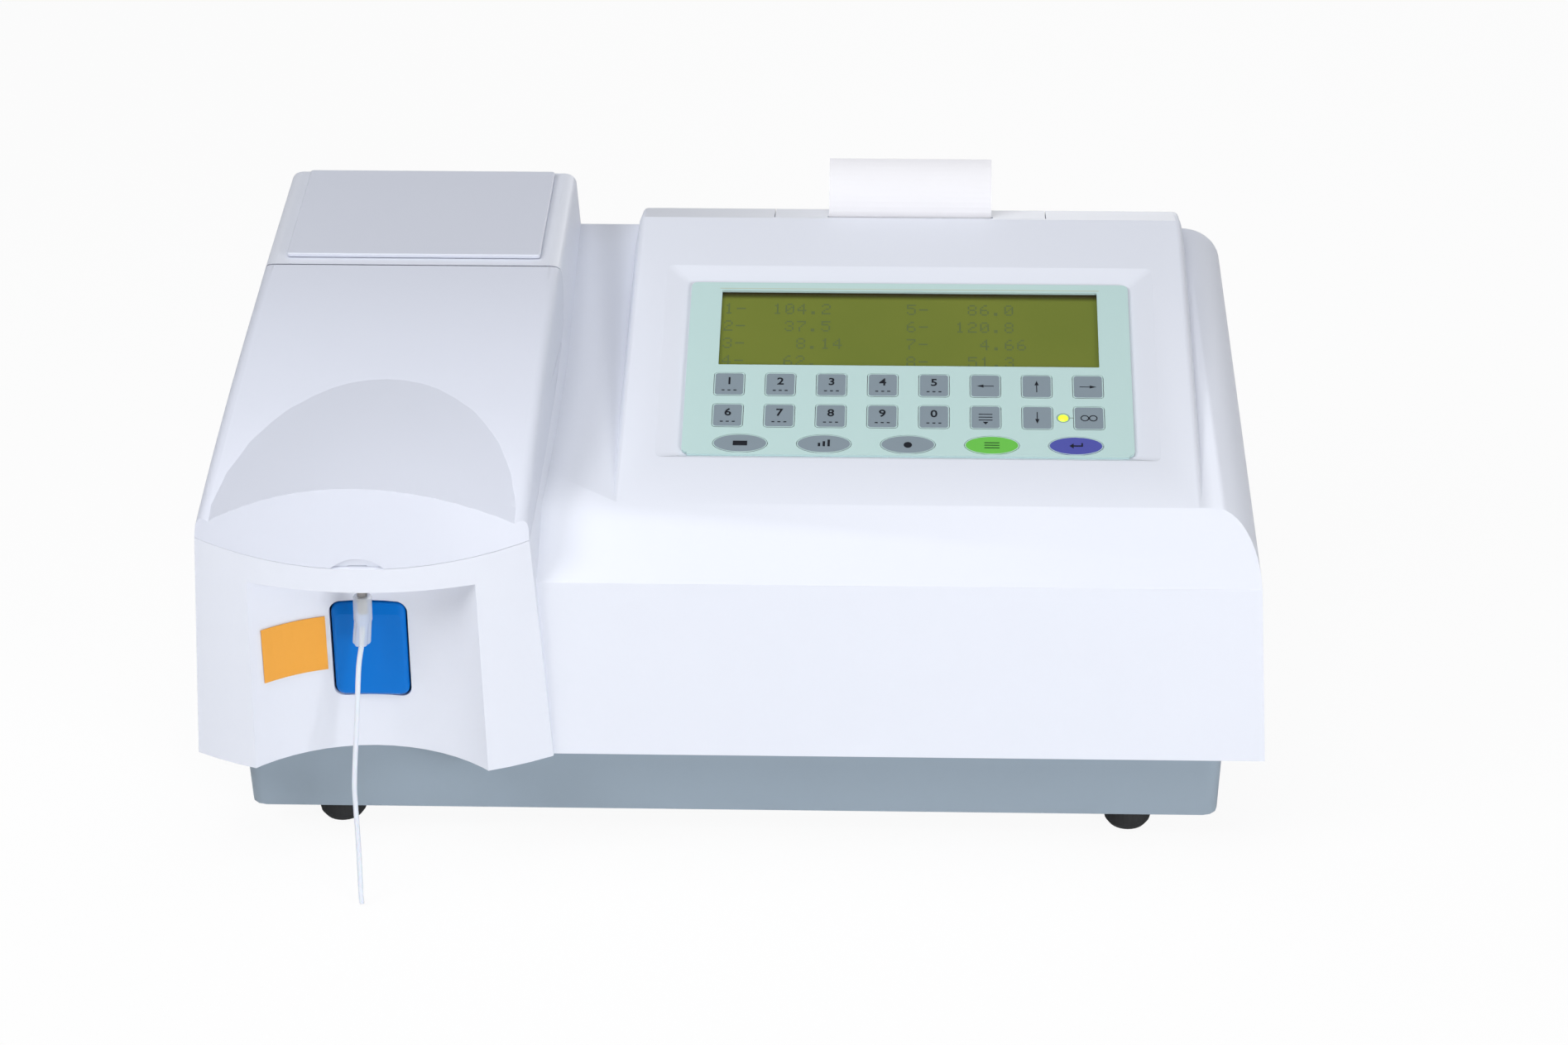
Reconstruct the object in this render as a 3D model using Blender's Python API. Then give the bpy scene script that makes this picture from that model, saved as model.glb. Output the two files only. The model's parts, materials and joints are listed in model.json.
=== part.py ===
"""Semi-automatic benchtop chemistry analyzer, in metres, +Z up, front towards -Y, standing on z = 0."""

from math import asin, atan2, cos, hypot, pi, radians, sin, sqrt, tan

import bmesh
import bpy
from mathutils import Matrix, Vector

# Overall sizes
BODY_WIDTH = 0.3547
BODY_DEPTH = 0.1993
BODY_TAPER = 0.0034  # narrower at the rear, all on the right
TRAY_CLEARANCE = 0.0111  # bench to the underside of the tray
RIM_HEIGHT = 0.0422  # bench to the lower rim of the housing
WALL = 0.0025
GAP = 0.0003  # between pieces that touch
ORIGIN_SET_BACK = 0.00087  # brings the middle of the machine onto the origin
RUNNING_GAP = 0.0006  # between pieces that move past each other
PIN_GAP = 0.0001
OVERRUN = 0.006  # how far a cutter runs past what it cuts
ROUND_SIDES = 32
SMALL_SIDES = 16
ARC_STEPS = 6

# Main housing
SIDE_DRAFT = radians(3.4)
FRONT_DRAFT = radians(1.4)
REAR_DRAFT = radians(1.5)
FRONT_HEIGHT = 0.0652  # vertical front face
FACET_RUN = 0.0222  # sloping facet above the front face
FACET_RISE = 0.0176
ROOF_PITCH = radians(9.4)
CORNER_RADIUS = 0.014
SCREW_BOSS_RADIUS = 0.004
SCREW_BOSS_HEIGHT = 0.02
SCREW_HOLE_RADIUS = 0.0014

# Console wedge on the roof
CONSOLE_LEFT_GAP = 0.0197  # from the pod to the console, and from there to the right side
CONSOLE_RIGHT_GAP = 0.022
CONSOLE_PITCH = radians(14.6)
CONSOLE_TAPER = 0.0041  # narrower at the rear
CONSOLE_EDGE_RADIUS = 0.0022
CONSOLE_SIDE_DRAFT = radians(9)
STRIP_PITCH = radians(14.5)  # rear strip, sloping down to the back
STRIP_RUN = 0.01866

# Pod on the left
POD_WIDTH = 0.1185
POD_FLARE = 0.0085  # how far the left wall spreads towards the front
POD_LEAN = 0.006  # how far the right wall shifts left towards the front
POD_BEND_Y = 0.025  # behind this the walls run straight back
POD_BEND_RUN = 0.11
POD_BEND_SHAPE = 1.6
POD_TOP = 0.1707
POD_EDGE_RADIUS = 0.004
NOSE_REACH = 0.01745  # nose in front of the main front face
NOSE_RADIUS = 0.118

# Flow cell lid
LID_WALL = 0.0022
LID_SET_BACK = 0.01845  # from the front of the nose, as are the next set-backs
LID_FRONT_Z = 0.1335
LID_TURN = radians(28)
LID_NOSE_DRAFT = radians(17)
LID_AXIS_FROM_REAR = 0.08105
LID_AXIS_DROP = 0.007
LID_END_RADIUS = 0.008
SEAM_FRONT_Z = 0.1213
SEAM_GAP = 0.0004
HUMP_START_SET_BACK = 0.07345
HUMP_START_Z = 0.1581
HUMP_RIDGE_SET_BACK = 0.00985
HUMP_RIDGE_Z = 0.1472
HUMP_TURN = radians(11)
HUMP_CROWN_RADIUS = 0.074
HUMP_CROWN_GROWTH = 0.085  # added to that radius from the ridge to the start
HUMP_HALF_SPAN = 0.052
NOTCH_WIDTH = 0.0185
NOTCH_HEIGHT = 0.0038
NOTCH_DEPTH = 0.0014
HINGE_PIN_RADIUS = 0.00125
HINGE_EAR_RADIUS = 0.004
HINGE_EAR_WIDTH = 0.004
HINGE_SPREAD = 0.064  # between the middles of the two ear and lug pairs
HINGE_ARM_DROP = 0.015

# Sample recess under the nose
RECESS_RADIUS = 0.0575
RECESS_SET_BACK = 0.02145
RECESS_TOP = 0.1132

# Tray and feet
TRAY_SIDE_INSET = 0.0135  # inside the housing's overall box
TRAY_FRONT_INSET = 0.03145
TRAY_REAR_INSET = 0.01265
TRAY_FLOOR = 0.0025
TRAY_DRAFT = radians(2)
TRAY_CORNER_RADIUS = 0.005
FLANGE_RISE = 0.0035  # tray flange above the housing's rim
FLANGE_THICKNESS = 0.0025
FOOT_RADIUS = 0.008
FOOT_INSET_X = 0.02985
FOOT_INSET_Y = 0.0106
VENT_LENGTH = 0.04
VENT_WIDTH = 0.003
VENT_PITCH = 0.008
VENT_COUNT = 7

# Keypad overlay, keys and display
LCD_RISE = 0.0868  # display centre up the console from its front crease
DISH_DEPTH = 0.0015
DISH_BORDER = 0.0084
DISH_FRONT_BORDER = 0.0026
OVERLAY_MARGIN = 0.02205  # to the console's front corners
OVERLAY_HEIGHT = 0.0852
OVERLAY_TOP = 0.0231  # above the display's centre
OVERLAY_THICKNESS = 0.0009
OVERLAY_RADIUS = 0.002
WINDOW_MARGIN = 0.0099  # to the overlay's sides, as are the next margins
WINDOW_HEIGHT = 0.0395
WINDOW_BEZEL = 0.0008
GLASS_THICKNESS = 0.0011
LCD_BOARD_MARGIN = 0.0032
LCD_BOARD_HEIGHT = 0.064
LCD_BOARD_THICKNESS = 0.009
KEY_MARGIN = 0.00969
KEY_SPACE = 0.00706  # between two keys of a row
KEY_HEIGHT = 0.0112
KEY_RADIUS = 0.0012
KEY_COLUMNS = 8
KEY_ROW_DROP = 0.0287  # first row under the display's centre
KEY_ROW_PITCH = 0.0154
KEY_THICKNESS = 0.0005
KEY_TRAVEL = 0.0004
KEY_GAP = 0.0002
OVAL_MARGIN = 0.0103
OVAL_SPACE = 0.0097
OVAL_COUNT = 5
OVAL_HEIGHT = 0.0088
OVAL_ROW_DROP = 0.0135  # ovals under the second row
LED_RADIUS = 0.0016
LED_LENGTH = 0.004

# Aspirate key, nozzle and tube
ASPIRATE_WIDTH = 0.0245
ASPIRATE_HEIGHT = 0.0352
ASPIRATE_CENTRE_Z = 0.0805
ASPIRATE_PROUD = 0.0022
ASPIRATE_BODY = 0.007
ASPIRATE_RADIUS = 0.003
ASPIRATE_TRAVEL = 0.002
ASPIRATE_BEVEL = 0.0012
NOZZLE_SET_BACK = 0.00965
NOZZLE_RADIUS = 0.0017
NOZZLE_BORE = 0.0007
NOZZLE_BELOW = 0.012
NOZZLE_ABOVE = 0.004
NOZZLE_COLLAR_RADIUS = 0.004
NOZZLE_COLLAR_HEIGHT = 0.0025
SLEEVE_RADIUS = 0.0031
SLEEVE_LENGTH = 0.02
SLEEVE_GRIP = 0.0085  # how much of the nozzle the sleeve covers
SLEEVE_TILT = radians(6)
TUBE_RADIUS = 0.00085
TUBE_INSERT = 0.006

# Amber sticker on the left of the recess
STICKER_LENGTH = 0.0222
STICKER_HEIGHT = 0.0202
STICKER_THICKNESS = 0.0003
STICKER_CENTRE_Z = 0.0835
STICKER_START = 0.0145  # from the middle of the recess along its wall

# Cover over the lamp compartment
LAMP_COVER_WIDTH = 0.0866
LAMP_COVER_DEPTH = 0.0665
LAMP_COVER_FROM_REAR = 0.07205  # its front edge
LAMP_COVER_THICKNESS = 0.0018
LAMP_COVER_EDGE = 0.006  # how far it laps over its opening
LAMP_COVER_SKIRT = 0.004
LAMP_COVER_RADIUS = 0.0012
LAMP_COVER_LIFT = 0.03

# Printer cover
PRINTER_COVER_WIDTH = 0.095
PRINTER_LEDGE = 0.0016
PRINTER_COVER_LOW_Z = 0.104
PRINTER_COVER_WALL = 0.0022
SLOT_DEPTH = 0.0021
PAPER_WIDTH = 0.057
PAPER_THICKNESS = 0.0003
PAPER_RADIUS = 0.0177
PAPER_TURN = radians(72)
PAPER_TAIL = 0.0045
KNUCKLE_RADIUS = 0.0018
KNUCKLE_PIN_RADIUS = 0.0009
KNUCKLE_LENGTH = 0.01

# Printer
ROLL_RADIUS = 0.019
ROLL_CORE_RADIUS = 0.006
ROLL_FROM_REAR = 0.02615
ROLL_Z = 0.1232
PLATEN_RADIUS = 0.004
PLATEN_FROM_REAR = 0.01115
PLATEN_Z = 0.1468
SHAFT_RADIUS = 0.0015
PRINTER_PLATE = 0.002
PRINTER_PLATE_DEPTH = 0.0325
PRINTER_PLATE_FROM_REAR = 0.00715
PRINTER_PLATE_LOW_Z = 0.115
PRINTER_BODY_DEPTH = 0.014
PRINTER_BODY_HEIGHT = 0.006
HEAD_THICKNESS = 0.002

# Rear panel and its fittings
PANEL_FROM_RIGHT = 0.02235  # its right end
PANEL_WIDTH = 0.2
PANEL_LOW_Z = 0.0528
PANEL_HEIGHT = 0.0455
PANEL_THICKNESS = 0.0015
PANEL_LAP = 0.004
PANEL_RECESS = 0.004
INLET_FROM_RIGHT = 0.04935  # its middle, as for the other fittings
INLET_WIDTH = 0.0275
INLET_HEIGHT = 0.0195
INLET_DEPTH = 0.018
INLET_FLANGE = 0.0025
SWITCH_FROM_RIGHT = 0.07935
SWITCH_WIDTH = 0.013
SWITCH_HEIGHT = 0.0195
SWITCH_FRAME = 0.0015
ROCKER_TILT = radians(9)
SERIAL_FROM_RIGHT = 0.12135
SERIAL_WIDTH = 0.0308
SERIAL_HEIGHT = 0.0125
SERIAL_DEPTH = 0.011
FAN_FROM_RIGHT = 0.17335
FAN_SIZE = 0.04
FAN_DEPTH = 0.01
FAN_BORE = 0.0185
FAN_HUB = 0.0095
FAN_BLADES = 7
FAN_BLADE_THICKNESS = 0.0012
FAN_SPINDLE_RADIUS = 0.0015
GRILLE_RINGS = 3
GRILLE_SLOT = 0.0024
DRAIN_FROM_RIGHT = 0.20735
DRAIN_RADIUS = 0.002
DRAIN_LENGTH = 0.0035

# Boards and power supply
BOARD_THICKNESS = 0.0016
BOARD_FROM_RIGHT = 0.03735  # its right edge
BOARD_FROM_DECK = 0.042  # its left edge
BOARD_SET_BACK = 0.04265  # its front edge
BOARD_DEPTH = 0.09
POST_HEIGHT = 0.006
POST_RADIUS = 0.003
POST_INSET = 0.006
CHIP_SIZE = 0.018
CHIP_HEIGHT = 0.0022
HEADER_LENGTH = 0.04
HEADER_DEPTH = 0.006
HEADER_HEIGHT = 0.009
SUPPLY_WIDTH = 0.085
SUPPLY_DEPTH = 0.036
SUPPLY_HEIGHT = 0.03
SUPPLY_FROM_RIGHT = 0.07735
SUPPLY_FROM_REAR = 0.04215
SUPPLY_SHEET = 0.0012
COIL_SIZE = 0.024
CAPACITOR_RADIUS = 0.007

# Optics under the lid and the lamp cover
DECK_HEIGHT = 0.088
DECK_THICKNESS = 0.002
DECK_FROM_LEFT = 0.02335  # its left edge
DECK_WIDTH = 0.092
DECK_SET_BACK = 0.04365
DECK_FROM_REAR = 0.01715
BEAM_HEIGHT = 0.0325  # above the deck
BEAM_FROM_LEFT = 0.08935
BEAM_RADIUS = 0.003
OPTICS_FROM_LID = 0.0306  # in front of the lid's axis
OPTICS_WIDTH = 0.034
OPTICS_DEPTH = 0.04
OPTICS_HEIGHT = 0.044
CELL_WIDTH = 0.012
CELL_DEPTH = 0.012
CELL_DROP = 0.02
CELL_PROUD = 0.005
CELL_CAP = 0.0025
LAMP_FROM_REAR = 0.03565
LAMP_RADIUS = 0.011
LAMP_LENGTH = 0.026
LAMP_FINS = 5
LAMP_FIN_THICKNESS = 0.0016
LAMP_CORE_RADIUS = 0.008
WHEEL_FROM_LEFT = 0.06535
WHEEL_FROM_REAR = 0.05565
WHEEL_RADIUS = 0.03
WHEEL_THICKNESS = 0.004
WHEEL_FILTERS = 8
FILTER_RADIUS = 0.005
STEPPER_SIZE = 0.02
STEPPER_LENGTH = 0.016
PUMP_FROM_LEFT = 0.03935
PUMP_FROM_LID = 0.0446
PUMP_RADIUS = 0.02
PUMP_HEIGHT = 0.016
PUMP_MOTOR_HEIGHT = 0.012
PUMP_WALL = 0.003
ROLLER_RADIUS = 0.004
ROLLER_COUNT = 3
PUMP_HUB_RADIUS = 0.006

# Derived planes and places
RIGHT_X = BODY_WIDTH / 2
LEFT_X = -RIGHT_X
REAR_Y = BODY_DEPTH / 2
NOSE_FRONT_Y = -REAR_Y
FRONT_Y = NOSE_FRONT_Y + NOSE_REACH
LOW_CREASE_Y = FRONT_Y + FRONT_HEIGHT * tan(FRONT_DRAFT)
LOW_CREASE_Z = RIM_HEIGHT + FRONT_HEIGHT
CREASE_Y = LOW_CREASE_Y + FACET_RUN
CREASE_Z = LOW_CREASE_Z + FACET_RISE
CONSOLE_END_Y = REAR_Y - STRIP_RUN
CONSOLE_RUN = CONSOLE_END_Y - CREASE_Y
CONSOLE_FRONT_WIDTH = BODY_WIDTH - POD_WIDTH - CONSOLE_LEFT_GAP - CONSOLE_RIGHT_GAP
CONSOLE_REAR_WIDTH = CONSOLE_FRONT_WIDTH - CONSOLE_TAPER
CONSOLE_X = RIGHT_X - CONSOLE_RIGHT_GAP - CONSOLE_FRONT_WIDTH / 2
NOSE_X = LEFT_X + POD_WIDTH / 2
NOSE_Y = NOSE_FRONT_Y + NOSE_RADIUS  # centre of the nose's front arc
LID_FRONT_Y = NOSE_FRONT_Y + LID_SET_BACK
LID_AXIS_Y = REAR_Y - LID_AXIS_FROM_REAR
LID_AXIS_Z = POD_TOP - LID_AXIS_DROP
SEAM_Y = LID_AXIS_Y + sqrt(LID_END_RADIUS**2 - LID_AXIS_DROP**2)
HUMP_START_Y = NOSE_FRONT_Y + HUMP_START_SET_BACK
HUMP_RIDGE_Y = NOSE_FRONT_Y + HUMP_RIDGE_SET_BACK
RECESS_BACK_Y = NOSE_FRONT_Y + RECESS_SET_BACK
RECESS_Y = RECESS_BACK_Y - RECESS_RADIUS  # centre of the recess's arc
TRAY_WIDTH = BODY_WIDTH - 2 * TRAY_SIDE_INSET
TRAY_FRONT_Y = NOSE_FRONT_Y + TRAY_FRONT_INSET
TRAY_REAR_Y = REAR_Y - TRAY_REAR_INSET
TRAY_TOP = RIM_HEIGHT + FLANGE_RISE + FLANGE_THICKNESS
FLOOR_Z = TRAY_CLEARANCE + TRAY_FLOOR
FOOT_SPACING_X = TRAY_WIDTH - 2 * FOOT_INSET_X
OVERLAY_WIDTH = CONSOLE_FRONT_WIDTH - 2 * OVERLAY_MARGIN
WINDOW_WIDTH = OVERLAY_WIDTH - 2 * WINDOW_MARGIN
LCD_BOARD_WIDTH = OVERLAY_WIDTH - 2 * LCD_BOARD_MARGIN
KEY_PITCH = (OVERLAY_WIDTH - 2 * KEY_MARGIN + KEY_SPACE) / KEY_COLUMNS
KEY_WIDTH = KEY_PITCH - KEY_SPACE
OVAL_PITCH = (OVERLAY_WIDTH - 2 * OVAL_MARGIN + OVAL_SPACE) / OVAL_COUNT
OVAL_WIDTH = OVAL_PITCH - OVAL_SPACE
NOZZLE_Y = NOSE_FRONT_Y + NOZZLE_SET_BACK
LAMP_COVER_FRONT_Y = REAR_Y - LAMP_COVER_FROM_REAR
ROLL_Y = REAR_Y - ROLL_FROM_REAR
PLATEN_Y = REAR_Y - PLATEN_FROM_REAR
PRINTER_PLATE_REAR_Y = REAR_Y - PRINTER_PLATE_FROM_REAR
PRINTER_PLATE_FRONT_Y = PRINTER_PLATE_REAR_Y - PRINTER_PLATE_DEPTH
PANEL_CENTRE_X = RIGHT_X - PANEL_FROM_RIGHT - PANEL_WIDTH / 2
INLET_X = RIGHT_X - INLET_FROM_RIGHT
SWITCH_X = RIGHT_X - SWITCH_FROM_RIGHT
SERIAL_X = RIGHT_X - SERIAL_FROM_RIGHT
FAN_X = RIGHT_X - FAN_FROM_RIGHT
DRAIN_X = RIGHT_X - DRAIN_FROM_RIGHT
DECK_CENTRE_X = LEFT_X + DECK_FROM_LEFT + DECK_WIDTH / 2
DECK_FRONT_Y = NOSE_FRONT_Y + DECK_SET_BACK
DECK_REAR_Y = REAR_Y - DECK_FROM_REAR
DECK_Z = DECK_HEIGHT + DECK_THICKNESS
BOARD_WIDTH = RIGHT_X - BOARD_FROM_RIGHT - BOARD_FROM_DECK - DECK_CENTRE_X - DECK_WIDTH / 2
BOARD_CENTRE_X = RIGHT_X - BOARD_FROM_RIGHT - BOARD_WIDTH / 2
BOARD_CENTRE_Y = NOSE_FRONT_Y + BOARD_SET_BACK + BOARD_DEPTH / 2
SUPPLY_X = RIGHT_X - SUPPLY_FROM_RIGHT
SUPPLY_Y = REAR_Y - SUPPLY_FROM_REAR
BEAM_X = LEFT_X + BEAM_FROM_LEFT
OPTICS_Y = LID_AXIS_Y - OPTICS_FROM_LID
LAMP_Y = REAR_Y - LAMP_FROM_REAR
WHEEL_X = LEFT_X + WHEEL_FROM_LEFT
WHEEL_Y = REAR_Y - WHEEL_FROM_REAR
PUMP_X = LEFT_X + PUMP_FROM_LEFT
PUMP_Y = LID_AXIS_Y - PUMP_FROM_LID


def roof_z(y):
    return CREASE_Z + (y - CREASE_Y) * tan(ROOF_PITCH)


def console_z(y):
    return CREASE_Z + (y - CREASE_Y) * tan(CONSOLE_PITCH)


def strip_z(y):
    return console_z(CONSOLE_END_Y) - (y - CONSOLE_END_Y) * tan(STRIP_PITCH)


def rear_y(z):
    return REAR_Y - (z - RIM_HEIGHT) * tan(REAR_DRAFT)


def seam_z(y):
    return SEAM_FRONT_Z + (y - NOSE_FRONT_Y) * tan(CONSOLE_PITCH)


def draft_at(z):
    return (z - RIM_HEIGHT) * tan(SIDE_DRAFT)


def right_wall(y):
    return RIGHT_X - BODY_TAPER * (y - FRONT_Y) / (REAR_Y - FRONT_Y)


def pod_bend(y):
    """0 behind the bend and 1 at the nose, growing smoothly in between."""
    return min(max((POD_BEND_Y - y) / POD_BEND_RUN, 0), 1.1) ** POD_BEND_SHAPE


def pod_left(y):
    return LEFT_X + POD_FLARE * (1 - pod_bend(y))


def pod_right(y):
    return LEFT_X + POD_WIDTH + POD_LEAN * (1 - pod_bend(y))


def pod_centre(y):
    return (pod_left(y) + pod_right(y)) / 2


# Mesh helpers
def new_object(name, bm):
    bmesh.ops.recalc_face_normals(bm, faces=bm.faces)
    mesh = bpy.data.meshes.new(name)
    bm.to_mesh(mesh)
    bm.free()
    made = bpy.data.objects.new(name, mesh)
    bpy.context.scene.collection.objects.link(made)
    return made


def loft(sections):
    """A closed form through rings of points that all have the same count."""
    bm = bmesh.new()
    rings = [[bm.verts.new(point) for point in section] for section in sections]
    for ring, following in zip(rings, rings[1:]):
        for i, vertex in enumerate(ring):
            j = (i + 1) % len(ring)
            bm.faces.new((vertex, ring[j], following[j], following[i]))
    bm.faces.new(rings[0])
    bm.faces.new(rings[-1])
    return new_object("form", bm)


def place(axis, a, b, t):
    return {"X": (t, a, b), "Y": (a, t, b), "Z": (a, b, t)}[axis]


def prism(outline, axis, low, high):
    """An outline extruded along an axis; its points are the other two axes in X, Y, Z order."""
    return loft([[place(axis, a, b, t) for a, b in outline] for t in (low, high)])


def box(x, y, z):
    return prism([(x[0], y[0]), (x[1], y[0]), (x[1], y[1]), (x[0], y[1])], "Z", *z)


def block(centre, width, depth, low, high):
    """A box centred on (x, y), between two heights."""
    x, y = centre
    half_w, half_d = width / 2, depth / 2
    return box((x - half_w, x + half_w), (y - half_d, y + half_d), (low, high))


def arc(a, b, radius, start, end, steps):
    turns = [start + (end - start) * i / steps for i in range(steps + 1)]
    return [(a + radius * cos(t), b + radius * sin(t)) for t in turns]


def circle(a, b, radius, sides=ROUND_SIDES):
    return arc(a, b, radius, 0, 2 * pi, sides)[:-1]


def rounded(a, b, width, height, radius, steps=3):
    """A rectangle's outline with round corners."""
    half_w, half_h = width / 2 - radius, height / 2 - radius
    corners = ((1, 1, 0), (-1, 1, 1), (-1, -1, 2), (1, -1, 3))
    points = []
    for side, end, turn in corners:
        start = turn * pi / 2
        points += arc(a + side * half_w, b + end * half_h, radius, start, start + pi / 2, steps)
    return points


def cylinder(axis, a, b, radius, low, high, sides=ROUND_SIDES):
    return prism(circle(a, b, radius, sides), axis, low, high)


def turned(axis, a, b, profile, sides=ROUND_SIDES):
    """A turned form from (radius, distance along the axis) pairs."""
    return loft([[place(axis, *point, t) for point in circle(a, b, r, sides)] for r, t in profile])


def combine(target, tool, operation):
    modifier = target.modifiers.new("combine", "BOOLEAN")
    modifier.object = tool
    modifier.operation = operation
    modifier.solver = "EXACT"
    bpy.context.view_layer.update()
    graph = bpy.context.evaluated_depsgraph_get()
    result = bpy.data.meshes.new_from_object(target.evaluated_get(graph))
    target.modifiers.remove(modifier)
    target.data = result
    bpy.data.objects.remove(tool)
    return target


def join(target, *tools):
    for tool in tools:
        combine(target, tool, "UNION")
    return target


def cut(target, *tools):
    for tool in tools:
        combine(target, tool, "DIFFERENCE")
    return target


def keep(target, *tools):
    for tool in tools:
        combine(target, tool, "INTERSECT")
    return target


def duplicate(source):
    copy = bpy.data.objects.new(source.name, source.data.copy())
    bpy.context.scene.collection.objects.link(copy)
    return copy


def material(name, colour, roughness, metallic=0.0, alpha=1.0):
    made = bpy.data.materials.new(name)
    made.use_nodes = True
    shader = made.node_tree.nodes["Principled BSDF"]
    shader.inputs["Base Color"].default_value = (*colour, 1.0)
    shader.inputs["Roughness"].default_value = roughness
    shader.inputs["Metallic"].default_value = metallic
    shader.inputs["Alpha"].default_value = alpha
    return made


def finish(made, name, surface, pivot=None):
    """Names the piece, gives it its material and moves its origin onto its joint's axis."""
    made.name = name
    made.data.name = name
    made.data.materials.clear()
    made.data.materials.append(MATERIALS[surface])
    made.data.shade_smooth()
    made.data.set_sharp_from_angle(angle=radians(30))
    if pivot is not None:
        made.data.transform(Matrix.Translation(-Vector(pivot)))
        made.location = pivot
    return made


# Forms of the housing, each drawn at the outer surface or inset by a wall
def rear_limit(inset):
    """Everything in front of the drafted rear wall and above the rim."""
    low, high = RIM_HEIGHT - OVERRUN * (inset > 0), POD_TOP + OVERRUN
    outline = [
        (-BODY_DEPTH, low),
        (rear_y(low) - inset, low),
        (rear_y(high) - inset, high),
        (-BODY_DEPTH, high),
    ]
    return prism(outline, "X", LEFT_X - OVERRUN, RIGHT_X + OVERRUN)


def front_limit(inset):
    """Everything behind the main front face and its facet."""
    facet = atan2(FACET_RISE, FACET_RUN)
    shift = inset * tan((pi / 2 - FRONT_DRAFT - facet) / 2)
    low = (LOW_CREASE_Y + inset, LOW_CREASE_Z - shift)
    reach = BODY_DEPTH / 2
    outline = [
        (low[0] - low[1] * tan(FRONT_DRAFT), 0),
        low,
        (low[0] + reach, low[1] + reach * tan(facet)),
        (BODY_DEPTH, low[1] + reach * tan(facet)),
        (BODY_DEPTH, 0),
    ]
    return prism(outline, "X", LEFT_X - OVERRUN, RIGHT_X + OVERRUN)


def main_section(y, inset):
    """Section across the main body: drafted right wall, round top corner and roof."""
    top = roof_z(y) - inset / cos(ROOF_PITCH)
    bottom = RIM_HEIGHT - 2 * OVERRUN
    radius = CORNER_RADIUS - inset
    corner_z = top - radius
    right = right_wall(y) - inset
    corner_x = right - draft_at(corner_z) - radius
    left_low = pod_right(y) - draft_at(bottom) - WALL / 2
    left_high = pod_right(y) - draft_at(top) - WALL / 2
    if inset > 0:
        left_low = left_high = pod_centre(y)
    points = [(left_low, y, bottom), (right - draft_at(bottom), y, bottom)]
    points += [(x, y, z) for x, z in arc(corner_x, corner_z, radius, 0, pi / 2, 2 * ARC_STEPS)]
    points.append((left_high, y, top))
    return points


def console_section(y, inset):
    share = (y - CREASE_Y) / CONSOLE_RUN
    width = CONSOLE_FRONT_WIDTH + (CONSOLE_REAR_WIDTH - CONSOLE_FRONT_WIDTH) * share
    top = min(console_z(y), strip_z(y)) - inset / cos(CONSOLE_PITCH)
    bottom = CREASE_Z - CORNER_RADIUS
    radius = max(CONSOLE_EDGE_RADIUS - inset, GAP)
    half = width / 2 - inset
    spread = (top - bottom) * tan(CONSOLE_SIDE_DRAFT)
    right = arc(CONSOLE_X + half - radius, top - radius, radius, 0, pi / 2, ARC_STEPS)
    left = arc(CONSOLE_X - half + radius, top - radius, radius, pi / 2, pi, ARC_STEPS)
    points = [(CONSOLE_X - half - spread, bottom), (CONSOLE_X + half + spread, bottom)]
    return [(x, y, z) for x, z in points + right + left]


def main_form(inset):
    """Main body with the console on its roof, up to the facet and before the rear wall is cut."""
    body = loft([main_section(y, inset) for y in (FRONT_Y - OVERRUN, 0, POD_BEND_Y, REAR_Y + OVERRUN)])
    stations = (CREASE_Y - OVERRUN, CONSOLE_END_Y, REAR_Y + OVERRUN)
    join(body, loft([console_section(y, inset) for y in stations]))
    return keep(body, front_limit(inset))


def lid_profile(inset):
    """(y, z) points down the lid's top, a shallow arc from the rear seam to the nose."""
    run, drop = SEAM_Y - LID_FRONT_Y, POD_TOP - LID_FRONT_Z
    chord = hypot(run, drop)
    radius = chord / (2 * sin(LID_TURN / 2))
    fall = atan2(drop, run)
    start = pi / 2 + fall - LID_TURN / 2
    centre_y = SEAM_Y - radius * cos(start)
    centre_z = POD_TOP - radius * sin(start)
    spare = asin(2 * OVERRUN / radius) * 2
    return arc(centre_y, centre_z, radius - inset, start, start + LID_TURN + spare, 2 * ARC_STEPS)


def pod_section(y, top, inset):
    bottom = RIM_HEIGHT - 2 * OVERRUN
    radius = max(POD_EDGE_RADIUS - inset, GAP)
    left, right = pod_left(y) + inset, pod_right(y) - inset
    turn = pi / 2
    corner = top - radius
    rise = draft_at(corner)
    points = [(left + draft_at(bottom), bottom), (right - draft_at(bottom), bottom)]
    points += arc(right - rise - radius, corner, radius, 0, turn, ARC_STEPS)
    points += arc(left + rise + radius, corner, radius, turn, 2 * turn, ARC_STEPS)
    return [(x, y, z) for x, z in points]


def pod_form(inset):
    tops = [(REAR_Y + OVERRUN, POD_TOP - inset)] + lid_profile(inset)
    return loft([pod_section(y, top, inset) for y, top in tops])


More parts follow.
